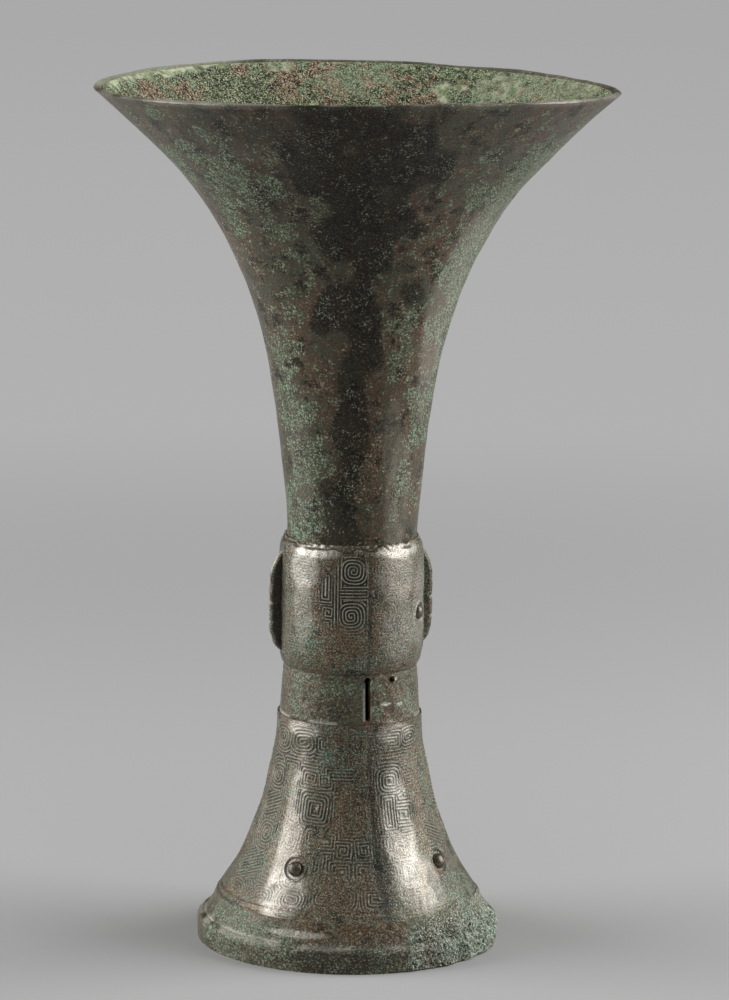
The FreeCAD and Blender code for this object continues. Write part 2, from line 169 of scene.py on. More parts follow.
def painted(spots: Spots, angle: Array, height: Array, period: float = FULL_TURN) -> Array:
    """Soft-edged ovals on a wall, laid over each other.

    An oval covers amount * ease((1.25 - d) / 0.5), with d the distance from its middle in half sizes.
    Together they cover one minus the product of what each leaves bare.

    Args:
        spots: for each oval its angle, height, half angle, half height and amount.
        angle: the angles of the places.
        height: their heights.
        period: the angle after which the ovals repeat.

    Returns:
        The cover at each place.
    """
    outside, soft = 1.25, 0.5
    bare = np.ones(np.broadcast_shapes(angle.shape, height.shape))
    for middle, level, half_angle, half_height, amount in spots:
        far = np.hypot(wrapped(angle - middle, period) / half_angle, (height - level) / half_height)
        bare = bare * (1.0 - amount * ease((outside - far) / soft))
    return 1.0 - bare


def smooth_curve(points: Array, start: Array | None, end: Array | None, count: int) -> Array:
    """A curve through points whose direction and bend are both continuous.

    Each coordinate is a cubic spline of the summed chord length. The slopes at the knots solve
    h1 m0 + 2 (h0 + h1) m1 + h0 m2 = 3 (h1 d0 + h0 d1), with h the chord lengths and d their slopes.

    Args:
        points: the knots, one row each, as radius and height.
        start: the unit direction at the first knot, or None where the end is free of bend.
        end: the same for the last knot.
        count: how many places are worked out between each two knots.

    Returns:
        The places along the curve, one row each.
    """
    gaps = np.linalg.norm(np.diff(points, axis=0), axis=1)
    slopes = np.diff(points, axis=0) / gaps[:, None]
    size = len(points)
    system, given = np.zeros((size, size)), np.zeros((size, 2))
    inner = np.arange(1, size - 1)
    system[inner, inner - 1] = gaps[1:]
    system[inner, inner] = 2 * (gaps[:-1] + gaps[1:])
    system[inner, inner + 1] = gaps[:-1]
    given[inner] = 3 * (gaps[1:, None] * slopes[:-1] + gaps[:-1, None] * slopes[1:])
    for row, beside, direction, slope in ((0, 1, start, slopes[0]), (-1, -2, end, slopes[-1])):
        system[row, row] = 1.0 if direction is not None else 2.0
        system[row, beside] = 0.0 if direction is not None else 1.0
        given[row] = direction if direction is not None else 3 * slope
    knots = np.linalg.solve(system, given)
    t = np.tile(np.linspace(0, 1, count, endpoint=False), size - 1)[:, None]
    span = np.repeat(np.arange(size - 1), count)
    p0, p1, m0, m1, h = points[span], points[span + 1], knots[span], knots[span + 1], gaps[span, None]
    curve = (2 * t**3 - 3 * t**2 + 1) * p0 + (t**3 - 2 * t**2 + t) * h * m0
    curve += (3 * t**2 - 2 * t**3) * p1 + (t**3 - t**2) * h * m1
    return np.vstack([curve, points[-1]])


@dataclass(frozen=True)
class Rows:
    """The rows of a turned surface: places of a profile, each with the direction away from the metal."""

    radius: Array
    height: Array
    out_radius: Array
    out_height: Array

    @classmethod
    def along(cls, places: Array, shares: Array | None = None) -> "Rows":
        """Rows at shares of a profile's length, or at its own places.

        The direction away from the metal is the profile's own direction turned a quarter to the right:
        (dz, -dr). A profile that climbs the outer wall and comes down the inner one keeps the metal on
        its left all the way.

        Args:
            places: radius and height of the profile, one row each.
            shares: where the rows lie, from 0 at its start to 1 at its end.

        Returns:
            The rows.
        """
        run = run_of(places)
        tangent = np.gradient(places, run, axis=0)
        tangent /= np.linalg.norm(tangent, axis=1, keepdims=True)
        at = (run / run[-1] if shares is None else shares) * run[-1]
        radius, height, dr, dz = (np.interp(at, run, column) for column in (*places.T, *tangent.T))
        return cls(radius, height, dz, -dr)

    @classmethod
    def straight(cls, spacing: float, *corners: tuple[float, float]) -> "Rows":
        """Rows along straight lines from corner to corner, no further apart than a spacing.

        Args:
            spacing: the greatest distance between rows.
            *corners: radius and height of each corner.

        Returns:
            The rows.
        """
        places = np.array(corners, float)
        gaps = np.linalg.norm(np.diff(places, axis=0), axis=1)
        parts = []
        for start, end, gap in zip(places, places[1:], gaps):
            steps = max(1, math.ceil(gap / spacing))
            parts.append(start + (end - start) * np.arange(steps)[:, None] / steps)
        return cls.along(np.vstack([*parts, places[-1:]]))

    @classmethod
    def joined(cls, *parts: "Rows") -> "Rows":
        """Several stretches of rows as one."""
        return cls(*(np.concatenate([getattr(part, name) for part in parts]) for name in cls.__match_args__))

    def picked(self, which: slice) -> "Rows":
        """Some of the rows."""
        return Rows(*(getattr(self, name)[which] for name in self.__match_args__))

    def behind(self, depth: float) -> "Rows":
        """The other side of a wall of this depth, run through in the opposite order."""
        sunk = self.radius - self.out_radius * depth, self.height - self.out_height * depth
        return Rows(*(values[::-1] for values in (*sunk, -self.out_radius, -self.out_height)))

    @property
    def run(self) -> Array:
        """The length along the rows, from the first of them."""
        return np.concatenate([[0.0], np.cumsum(np.hypot(np.diff(self.radius), np.diff(self.height)))])

    def grid(self, angles: Array) -> Sequence[Array]:
        """The angle and the height of each place, for columns at these angles."""
        return np.broadcast_arrays(angles[None, :], self.height[:, None])

    def turned(self, angles: Array, lift: Array | float = 0.0) -> Array:
        """The surface that the rows sweep round the axis.

        The radius is r + lift * out_r and the height h + lift * out_h.

        Args:
            angles: the angles of the columns, in degrees.
            lift: how far each place is moved away from the metal.

        Returns:
            The places, with rows first, columns next and x, y, z last.
        """
        radius = self.radius[:, None] + self.out_radius[:, None] * lift
        return round_axis(radius, angles[None, :], self.height[:, None] + self.out_height[:, None] * lift)


# Meshes

def grid_faces(rows: int, columns: int, close_rows: bool = False, close_columns: bool = False) -> Array:
    """The quads of a grid of vertices that are numbered row by row.

    Args:
        rows: how many rows the grid has.
        columns: how many columns it has.
        close_rows: True where the last row joins the first.
        close_columns: True where the last column joins the first.

    Returns:
        Four vertex numbers for each quad.
    """
    counts = rows if close_rows else rows - 1, columns if close_columns else columns - 1
    i, j = np.meshgrid(*map(np.arange, counts), indexing="ij")
    below, right = (i + 1) % rows, (j + 1) % columns
    corners = (i * columns + j, i * columns + right, below * columns + right, below * columns + j)
    return np.stack(corners, axis=-1).reshape(-1, 4)


def closed_wall(rows: Rows, angles: Array, lift: Array, whole: bool = True) -> Surface:
    """A wall whose rows run all the way round its section.

    Args:
        rows: the rows of the closed section.
        angles: the angles of the columns.
        lift: how far each place is moved away from the metal.
        whole: True for a full ring, False for a sector with two end faces.

    Returns:
        The places, the quads and the caps.
    """
    points = rows.turned(angles, lift)
    count, columns = points.shape[:2]
    first = np.arange(count) * columns
    caps = [] if whole else [first, first[::-1] + columns - 1]
    return points, grid_faces(count, columns, close_rows=True, close_columns=whole), caps


def stacked(points: Array) -> Surface:
    """A stack of closed sections with a cap over each end."""
    rows, columns = points.shape[:2]
    ends = np.arange(columns)
    return points, grid_faces(rows, columns, close_columns=True), [ends[::-1], (rows - 1) * columns + ends]


def pierced_wall(outer: Array, inner: Array, keep: Array, whole: bool) -> tuple[Surface, Array]:
    """A wall between two grids from which cells are left out.

    Each free edge of the outer side is joined to the same edge of the inner side by a quad.

    Args:
        outer: the places of the outer side.
        inner: those of the inner side, in the same grid.
        keep: True for each cell that stays, in the order of grid_faces.
        whole: True where the last column joins the first.

    Returns:
        The surface, and the number of each of its places in the two grids laid one after the other.
    """
    count, columns = outer.shape[:2]
    side = grid_faces(count, columns, close_columns=whole)[keep.ravel()]
    total = count * columns
    starts, ends = side.ravel(), np.roll(side, -1, axis=1).ravel()
    free = ~np.isin(starts * total + ends, ends * total + starts)
    edge_a, edge_b = starts[free], ends[free]
    walls = np.stack([edge_b, edge_a, edge_a + total, edge_b + total], axis=1)
    used, numbered = np.unique(np.vstack([side, side[:, ::-1] + total, walls]), return_inverse=True)
    points = np.concatenate([outer.reshape(-1, 3), inner.reshape(-1, 3)])[used]
    return (points, numbered.reshape(-1, 4), ()), used


def dress(piece: bpy.types.Object, finish: bpy.types.Material, slot: Slot, *nodes: str) -> None:
    """Gives a piece its finish, and hides the CAD nodes that it stands for.

    Args:
        piece: the piece.
        finish: its material.
        slot: not used.
        *nodes: the CAD nodes that the piece replaces.
    """
    piece.data.materials.clear()
    piece.data.materials.append(finish)
    if nodes:
        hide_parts(*nodes)


def linked(name: str, data: bpy.types.ID) -> bpy.types.Object:
    """A new object with this data, linked into the scene."""
    item = bpy.data.objects.new(name, data)
    bpy.context.scene.collection.objects.link(item)
    return item


def make_piece(
    name: str, surface: Surface, finish: bpy.types.Material, slot: Slot, *nodes: str,
    sharp: float = 62.0, **values: Array,
) -> None:
    """Puts a closed surface into the scene with its faces outwards, riding on the vessel's one body.

    Its faces point outwards where the sum of a . (b x c + c x d) over the quads, and of p0 . (p1 x p2)
    over the fans of the caps, is above nothing. Otherwise they are turned round.

    Args:
        name: the piece's name.
        surface: the places in millimetres, the quads, and the outlines that close open ends.
        finish: its material.
        slot: the slot of the record that the finish belongs to.
        *nodes: the CAD nodes that the piece replaces.
        sharp: the angle between faces, in degrees, past which an edge isn't smoothed.
        **values: values that the vertices carry, by name.
    """
    points, quads, caps = surface
    flat = points.reshape(-1, 3)
    a, b, c, d = (flat[quads[:, k]] for k in range(4))
    signed = (a * (np.cross(b, c) + np.cross(c, d))).sum()
    for cap in caps:
        signed += (np.cross(flat[cap][1:-1], flat[cap][2:]) @ flat[cap][0]).sum()
    if signed < 0:
        quads, caps = quads[:, ::-1], [cap[::-1] for cap in caps]
    mesh = bpy.data.meshes.new(name)
    mesh.from_pydata((flat * MM).tolist(), [], quads.tolist() + [cap.tolist() for cap in caps])
    for label, carried in values.items():
        layer = mesh.attributes.new(label, "FLOAT", "POINT")
        layer.data.foreach_set("value", np.ascontiguousarray(carried, np.float32).ravel())
    mesh.polygons.foreach_set("use_smooth", np.ones(len(mesh.polygons), bool))
    mesh.set_sharp_from_angle(angle=math.radians(sharp))
    piece = linked(name, mesh)
    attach(piece, "root")
    dress(piece, finish, slot, *nodes)
    log.info("%s: %d vertices, %d faces", name, len(mesh.vertices), len(mesh.polygons))


# Shaders

def operator(operation: str, flipped: bool = False) -> Callable[["Flow", "Flow | float"], "Flow"]:
    """An operator of Flow: a Math node on both values, the other one first where flipped."""
    return lambda self, other: self.math(operation, *((other, self) if flipped else (self, other)))


@dataclass(frozen=True)
class Flow:
    """A shader socket that takes part in Python arithmetic: each operator adds a Math node."""

    shader: "Shader"
    socket: bpy.types.NodeSocket
    __add__, __radd__ = operator("ADD"), operator("ADD", True)
    __sub__, __rsub__ = operator("SUBTRACT"), operator("SUBTRACT", True)
    __mul__, __rmul__ = operator("MULTIPLY"), operator("MULTIPLY", True)

    def math(self, operation: str, *values: "Flow | float") -> "Flow":
        """A Math node on the values, in their order."""
        return self.shader.flow(self.shader.node("Math", {"operation": operation}, dict(enumerate(values))))

    def step(self, low: float, high: float) -> "Flow":
        """Smooth step from 0 at low to 1 at high."""
        values = {"Value": self, "From Min": low, "From Max": high}
        return self.shader.flow(self.shader.node("MapRange", {"interpolation_type": "SMOOTHSTEP"}, values))

    def held(self) -> "Flow":
        """The value held between 0 and 1."""
        return self.math("MINIMUM", self.math("MAXIMUM", self, 0.0), 1.0)


class Shader:
    """The node tree of one material."""

    def __init__(self, name: str) -> None:
        """Makes an empty material with its output.

        Args:
            name: the material's name.
        """
        self.material = bpy.data.materials.new(name)
        self.material.use_nodes = True
        self.tree = self.material.node_tree
        self.tree.nodes.clear()
        self.output = self.node("OutputMaterial", {}, {})

    def node(self, kind: str, settings: dict, values: dict) -> bpy.types.Node:
        """Adds a node.

        Args:
            kind: the node's type, without the words ShaderNode before it.
            settings: its own properties, which are set first.
            values: constants or flows for its inputs, by name or number.

        Returns:
            The node.
        """
        node = self.tree.nodes.new("ShaderNode" + kind)
        for name, value in settings.items():
            setattr(node, name, value)
        for key, value in values.items():
            socket = node.inputs[key]
            if isinstance(value, Flow):
                self.tree.links.new(value.socket, socket)
            else:
                socket.default_value = (*value, 1.0) if socket.type == "RGBA" else value
        return node

    def flow(self, node: bpy.types.Node, output: int | str = 0) -> Flow:
        """One output of a node as a flow."""
        return Flow(self, node.outputs[output])

    def place(self) -> Flow:
        """The object's own coordinates."""
        return self.flow(self.node("TexCoord", {}, {}), "Object")

    def noise(self, scale: float, seed: float, detail: float = 4.0, stretch: Colour = (1, 1, 1)) -> Flow:
        """Soft random clouds, from 0 to 1.

        Args:
            scale: how many clouds there are to a metre.
            seed: the slice of the four-dimensional noise.
            detail: how many finer layers are added.
            stretch: how much closer the clouds lie along x, y and z.

        Returns:
            The clouds.
        """
        mapping = self.node("Mapping", {}, {"Vector": self.place(), "Scale": stretch})
        values = {"Vector": self.flow(mapping), "W": seed, "Scale": scale, "Detail": detail, "Roughness": 0.6}
        return self.flow(self.node("TexNoise", {"noise_dimensions": "4D"}, values), "Fac")

    def specks(self, scale: float, seed: float) -> Flow:
        """The distance from scattered points, for pits and specks that lie a scale to the metre."""
        values = {"Vector": self.place(), "W": seed, "Scale": scale}
        return self.flow(self.node("TexVoronoi", {"voronoi_dimensions": "4D"}, values), "Distance")

    def carried(self, name: str) -> Flow:
        """A value that the piece's vertices carry."""
        return self.flow(self.node("Attribute", {"attribute_name": name}, {}), "Fac")

    def blend(self, share: Flow, first: Flow | Colour, second: Flow | Colour) -> Flow:
        """The first colour passing into the second as the share goes from 0 to 1."""
        return self.flow(self.node("Mix", {"data_type": "RGBA"}, {0: share, 6: first, 7: second}), 2)

    def layered(self, colour: Flow, *layers: tuple[Flow, Flow | Colour]) -> Flow:
        """A colour with others laid over it in turn, each by its share."""
        for share, over in layers:
            colour = self.blend(share, colour, over)
        return colour

    def surface(
        self, colour: Flow, metallic: Flow, roughness: Flow, relief: Flow, depth: float, shine: float,
    ) -> None:
        """Joins the finish to the output.

        Args:
            colour: the base colour.
            metallic: how far the surface is bare metal.
            roughness: how dull it is.
            relief: the height of the grain.
            depth: the depth of the grain in metres.
            shine: how strongly the surface mirrors where it isn't metal, 0.5 being usual.
        """
        bump = self.node("Bump", {}, {"Height": relief, "Distance": depth, "Strength": 1.0})
        principled = self.node("BsdfPrincipled", {}, {
            "Base Color": colour, "Metallic": metallic, "Roughness": roughness, "Normal": self.flow(bump),
            "Specular IOR Level": shine,
        })
        self.tree.links.new(principled.outputs[0], self.output.inputs["Surface"])


@dataclass(frozen=True)
class Bronze:
    """Old bronze under its patina: a dark ground clouded by a redder one, with green bloom and pale specks.

    Vertices may carry stain (brown patches), bloom (green patches), shade (painted shade: dark patches down
    the front, where the side lamps leave the wall dark, and darker patina at the back), a worn share (bare
    worn metal, and painted highlights where the lamps shine), thread (the crests of the relief) and a crisp
    share (how crisp the relief is there, and on the flanges a painted shade over their flat faces). The
    specks and pits gather in the mottled places by the share gather.
    """

    name: str
    ground: Colour
    cloud: Colour
    bloom: Colour
    fresh: Colour
    # Bare worn metal; the same colour paints the highlights where the lamps shine.
    rubbed_and_highlight: Colour
    metal: float
    dull: float
    blooming: float
    seed: float
    salt: float = 0.5
    bite: float = 0.0003
    stain: Colour = (0.110, 0.064, 0.034)
    # Near black: pits and the valleys between threads, and the painted shade on the flanges' flat faces.
    hollow_and_shade: Colour = (0.010, 0.010, 0.008)
    speck: Colour = (0.42, 0.44, 0.33)
    # Dark: random blotches, and the painted shade down the front.
    blotch_and_shade: Colour = (0.018, 0.016, 0.012)
    blotches: float = 0.5
    pepper: float = 0.75
    gather: float = 0.0
    flecks: float = 0.5
    streaks: float = 0.0
    shine: float = 0.5
    coarse: float = 1700.0
    fine: float = 3000.0

    def material(self) -> bpy.types.Material:
        """The finish as a material.

        Returns:
            The material.
        """
        s, seed, wet = Shader(self.name), self.seed, self.blooming
        wide, middle, fine = s.noise(26, seed), s.noise(95, seed + 3), s.noise(330, seed + 5)
        grain, dust = s.noise(self.coarse, seed + 7, detail=2), s.noise(self.fine, seed + 9, detail=1)
        lines = s.noise(210, seed + 11, detail=3, stretch=(1, 1, 7))
        fine = fine * (1 - self.streaks) + lines * self.streaks
        dim, fleck = s.noise(150, seed + 13), s.noise(700, seed + 19, detail=2)
        threads, carved, bloom = s.carried("thread"), s.carried("carved"), s.carried("bloom")
        rust = (s.carried("stain") * 0.4 + middle * 0.4 + fine * 0.4 + grain * 0.1).step(0.62, 0.80)
        moss = (middle * 0.35 + fine * 0.45 + grain * 0.2 + bloom * 0.11).step(wet + 0.02, wet + 0.09)
        green = (fine * 0.55 + grain * 0.25 + wide * 0.2 + bloom * 0.07).step(wet + 0.06, wet + 0.10)
        polish = (s.carried("polish") * (0.1 + grain * 0.9 + dust * 0.9)).held()
        mottled = (1 - self.gather * (1 - (moss * 0.7 + green * 0.5 + rust * 0.4).held())).held()
        grit = dust * 0.5 + grain * 0.5
        pits = grit.step(0.51, 0.42) * (1 - polish * 0.7)
        colour = s.layered(
            s.blend((wide * 0.35 + middle * 0.4 + fine * 0.25).step(0.46, 0.54), self.ground, self.cloud),
            (rust * 0.85, self.stain),
            (moss * 0.85, self.bloom),
            (green * 0.9, self.fresh),
            (fleck.step(0.52, 0.58) * self.flecks, self.stain),
            (fleck.step(0.47, 0.41) * (0.4 + moss * 0.6) * self.flecks, self.fresh),
            ((dim * 0.45 + fine * 0.35 + grain * 0.2).step(0.49, 0.41) * self.blotches, self.blotch_and_shade),
            # Painted shade: dark patches where the side lamps leave the wall dark, with darker patina at the
            # back.
            ((s.carried("shade") * (0.45 + middle * 0.7)).held(), self.blotch_and_shade),
            # Bare worn metal, and painted highlights where the lamps shine.
            (polish, self.rubbed_and_highlight),
            (pits * mottled * self.pepper, self.hollow_and_shade),
            (grit.step(0.52, 0.60) * mottled * self.salt, self.speck),
            # Dark between the threads; on the flanges the same layer paints shade over their flat faces.
            ((threads.step(0.75, 0.1) * carved * 0.95).held(), self.hollow_and_shade),
            ((threads.step(0.4, 0.95) * carved * (0.25 + grain + (dust - 0.5))).held(), self.speck),
            (s.specks(600, seed).step(0.15, 0.08) * fine.step(0.52, 0.62), self.speck),
            (s.specks(230, seed + 1).step(0.09, 0.05) * middle.step(0.50, 0.60), self.speck),
        )
        mineral = (moss * 0.6 + green * 0.3 + rust * 0.5 + carved * (0.4 + threads * 0.4)).held()
        metallic = (self.metal + polish * 0.35) * (1 - mineral)
        roughness = (self.dull + (fine - 0.5) * 0.3 + mineral * 0.2 - polish * 0.06).held()
        relief = fine * 0.3 + grain * 0.35 + dust * 0.35
        s.surface(colour, metallic.held(), roughness, relief, self.bite, self.shine)
        return s.material


@dataclass(frozen=True)
class Mineral:
    """A grown crust: granular, in several greens, browns and near-whites.

    Vertices may carry pale (smooth pale patches), earth (brown patches) and pit (deep places).
    """

    name: str
    green: Colour
    teal: Colour
    earth: Colour
    pale: Colour
    dark: Colour
    seed: float
    gaps: float = 0.85
    coarse: float = 1650.0
    fine: float = 2800.0
    bite: float = 0.0006
    shine: float = 0.3

    def material(self) -> bpy.types.Material:
        """The finish as a material.

        Returns:
            The material.
        """
        s, seed = Shader(self.name), self.seed
        middle, fine, wide = s.noise(90, seed), s.noise(380, seed + 2), s.noise(45, seed + 8)
        grain, dust = s.noise(self.coarse, seed + 4, detail=2), s.noise(self.fine, seed + 6, detail=1)
        pale = s.carried("pale")
        soil = (s.carried("earth") * 0.13 + wide * 0.3 + middle * 0.4 + fine * 0.3).step(0.51, 0.58)
        dark = (s.carried("pit") * 0.09 + 0.5 - grain * 0.5 + 0.5 - dust * 0.5).step(0.50, 0.57)
        colour = s.layered(
            s.blend((wide * 0.35 + middle * 0.35 + fine * 0.3).step(0.47, 0.53), self.green, self.teal),
            ((middle * 0.4 + fine * 0.6).step(0.49, 0.42) * 0.55, self.dark),
            (soil, self.earth),
            ((grain * 0.5 + dust * 0.5).step(0.50, 0.62) * (0.4 + fine), self.pale),
            (dark * (self.gaps + (fine - 0.5) * 1.6).held(), self.dark),
            ((pale * (0.70 + grain * 0.5)).held(), s.blend(fine.step(0.42, 0.60), self.pale, self.green)),
        )
        relief = (grain * 0.6 + dust * 0.4) * (1 - pale * 0.8)
        s.surface(colour, middle * 0.0, 0.85 - pale * 0.25, relief, self.bite, self.shine)
        return s.material


# The ornament and its wear

@dataclass(frozen=True)
class Whorl:
    """A spiral of the thread relief, or a bundle of parallel threads, round a straight core.

    wide and tall are half the core's sizes, turn is the way that the spiral winds, square how square its
    rounds are, spread how far it pushes its neighbours back, tilt its lean, and stretch its widening.
    """

    angle: float
    height: float
    wide: float
    tall: float
    turn: int
    square: float
    spread: float = 0.0
    tilt: float = 0.0
    stretch: float = 1.0


def pair(angle: float, *rest: float) -> tuple[Whorl, Whorl]:
    """Two whorls that mirror each other across the seam, the left one as given but for its angle's sign."""
    left = Whorl(-angle, *rest)
    right = Whorl(angle, left.height, left.wide, left.tall, -left.turn, left.square, left.spread, -left.tilt)
    return left, right


@dataclass(frozen=True)
class Ornament:
    """The cast ground of fine threads, which curl into squared spirals, worn away outside its crisp spots."""

    whorls: tuple[Whorl, ...]
    crisp: Spots
    pitch: float
    least: float
    seed: int
    depth: float = 0.24

    def threads(self, rows: Rows, angle: Array) -> Array:
        """The height of the threads over a wall, from 0 between them to 1 on their crests.

        Each place belongs to its nearest whorl, after each distance is cut by the whorl's spread. With
        dx and dy the distances past the whorl's core along and up the wall, dx cut by its stretch, the
        distance is d = (|dx|^p + |dy|^p)^(1/p), and the thread's phase is d / pitch less the turned
        share of the angle round the whorl. The height is (0.5 + 0.5 cos(2 pi phase))^2.

        Args:
            rows: the rows of the wall.
            angle: the angles of its columns.

        Returns:
            The height at each place.
        """
        run = rows.run
        nearest = np.full((len(run), len(angle)), np.inf)
        phase = np.zeros_like(nearest)
        for whorl in self.whorls:
            arc = np.radians(wrapped(angle - whorl.angle, HALF_TURN))[None, :] * rows.radius[:, None]
            rise = (run - np.interp(whorl.height, rows.height, run))[:, None]
            lean = math.radians(whorl.tilt)
            across = arc * math.cos(lean) + rise * math.sin(lean)
            up = rise * math.cos(lean) - arc * math.sin(lean)
            past_x = np.maximum(np.abs(across) / whorl.stretch - whorl.wide, 0.0)
            past_y = np.maximum(np.abs(up) - whorl.tall, 0.0)
            distance = (past_x**whorl.square + past_y**whorl.square) ** (1 / whorl.square)
            mine = distance - whorl.spread < nearest
            nearest = np.where(mine, distance - whorl.spread, nearest)
            curl = whorl.turn * np.arctan2(up, across) / (2 * math.pi)
            phase = np.where(mine, distance / self.pitch - curl, phase)
        return (0.5 + 0.5 * np.cos(2 * math.pi * phase)) ** 2.0

    def lay(self, rows: Rows, angles: Array, low: float, high: float) -> tuple[Array, Array, Array]:
        """The relief between two levels.

        Args:
            rows: the rows of the outer wall.
            angles: the angles of its columns.
            low: the level where the relief begins.
            high: the level where it ends.

        Returns:
            The lift, the threads from 0 to 1, and how crisp they are from 0 to 1.
        """
        threads = self.threads(rows, angles)
        patches = painted(self.crisp, *rows.grid(angles), HALF_TURN)
        worn = spotted(rows.turned(angles), 0.55, (0.42, 6.5, self.seed), (0.2, 2.2, self.seed + 1))
        carved = np.clip(self.least * worn + patches * (0.72 + 0.28 * worn), 0, 1)
        carved = carved * between(rows.height, low, high, 0.8)[:, None]
        return self.depth * carved * (threads - 0.5), threads, carved


def seam_groove(rows: Rows, angles: Array, low: float, high: float) -> Array:
    """The sunk mould seam between two levels: a shallow bell-shaped groove, about two millimetres wide."""
    depth, width, fade = 0.12, 1.1, 1.5
    arc = np.radians(wrapped(angles, HALF_TURN))[None, :] * rows.radius[:, None]
    return -depth * hump(arc, width) * between(rows.height, low, high, fade)[:, None]


@dataclass(frozen=True)
class EyeSeat:
    """The place of a mask's eye on a register: its boss, its sunk roundel and the raised ring round it."""

    register: str
    angle: float
    height: float
    radius: float
    dome: float
    roundel: float
    ring: float = 0.22
    sunk: float = 0.4
    shank: float = 0.8
    brow: float = 0.25
    brow_width: float = 0.33
    soft: float = 0.45
    core: float = 0.02
    rings: int = 22
    sides: int = 56

    def places(self) -> list[tuple[str, float, float]]:
        """The names of the four eyes, the angles that they lie at, and what wear has left of each."""
        eyes = [(f"{self.register}_eye_{side}_{hand}", seam + sign * self.angle)
                for side, seam in FACES for hand, sign in HANDS]
        return [(name, angle, WORN_EYE_SHARE if name == WORN_EYE else 1.0) for name, angle in eyes]

    def carve(self, rows: Rows, angles: Array) -> Array:
        """The lift of the wall round the eyes: sunk inside the roundel, and a thin ring raised at its edge.

        The lift at a distance d from the centre is ring * exp(-((d - roundel - brow) / brow_width)^2)
        less sunk * ease((roundel - d) / soft + 0.5), both times what wear has left.

        Args:
            rows: the rows of the outer wall.
            angles: the angles of its columns.

        Returns:
            The lift at each place.
        """
        centre = np.interp(self.height, rows.height, rows.run)
        lift = np.zeros((len(rows.radius), len(angles)))
        for _, place, left in self.places():
            arc = np.radians(wrapped(angles - place, FULL_TURN))[None, :] * rows.radius[:, None]
            far = np.hypot(arc, (rows.run - centre)[:, None])
            lift += left * self.ring * hump(far - self.roundel - self.brow, self.brow_width)
            lift -= left * self.sunk * ease((self.roundel - far) / self.soft + 0.5)
        return lift

    def bare(self, rows: Rows, angles: Array) -> Array:
        """One outside the roundels and none inside, so that no thread runs under a boss."""
        return 1.0 - ease(-self.carve(rows, angles) / self.sunk / WORN_EYE_SHARE)

    def build(self, rows: Rows, finish: bpy.types.Material) -> None:
        """Makes the four bosses: a shank and a dome turned about a line square to the wall.

        Args:
            rows: the rows of the outer wall.
            finish: the finish of the bosses.
        """
        traits = rows.radius, rows.out_radius, rows.out_height
        radius, out_r, out_h = (float(np.interp(self.height, rows.height, trait)) for trait in traits)
        bend = np.linspace(0, math.pi / 2, self.rings)
        profile = np.concatenate([
            [[self.core, -self.shank], [self.radius, -self.shank], [self.radius, -0.1]],
            np.stack([self.radius * np.cos(bend) ** 0.9, self.dome * np.sin(bend)], axis=1)[:-1],
            [[self.core, self.dome]],
        ])
        turn = np.linspace(0, 2 * math.pi, self.sides, endpoint=False)
        for name, place, left in self.places():
            a = math.radians(place)
            radial, across = np.array([math.sin(a), -math.cos(a), 0]), np.array([math.cos(a), math.sin(a), 0])
            out = radial * out_r + np.array([0, 0, out_h])
            seat = radial * (radius - out_r * self.sunk) + np.array([0, 0, self.height - out_h * self.sunk])
            ring = np.cos(turn)[:, None] * across + np.sin(turn)[:, None] * np.cross(out, across)
            rise = np.where(profile[:, 1] > 0, profile[:, 1] * left, profile[:, 1])
            points = seat + profile[:, 0, None, None] * ring + rise[:, None, None] * out
            rough = 1 + 0.012 * ripples(points, 2.5, 31)
            points = seat + (points - seat) * rough[..., None]
            rubbed_and_highlight = np.full(points.shape[:2], 0.5 if name == WORN_EYE else 0.15)
            make_piece(f"{name}_boss", stacked(points), finish, Slot.WORN, name, polish=rubbed_and_highlight)


# The vessel

@dataclass(frozen=True)
class Levels:
    """Where the registers of the vessel end."""

    bell: float
    collar: float
    knop: float
    trumpet: float
    lip: float
    stem_foot: float

    @classmethod
    def read(cls) -> "Levels":
        """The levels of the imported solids."""
        feet = foot_of("bell"), top_of("bell"), foot_of("knop")
        return cls(*feet, top_of("knop"), top_of("mouth"), foot_of("stem"))


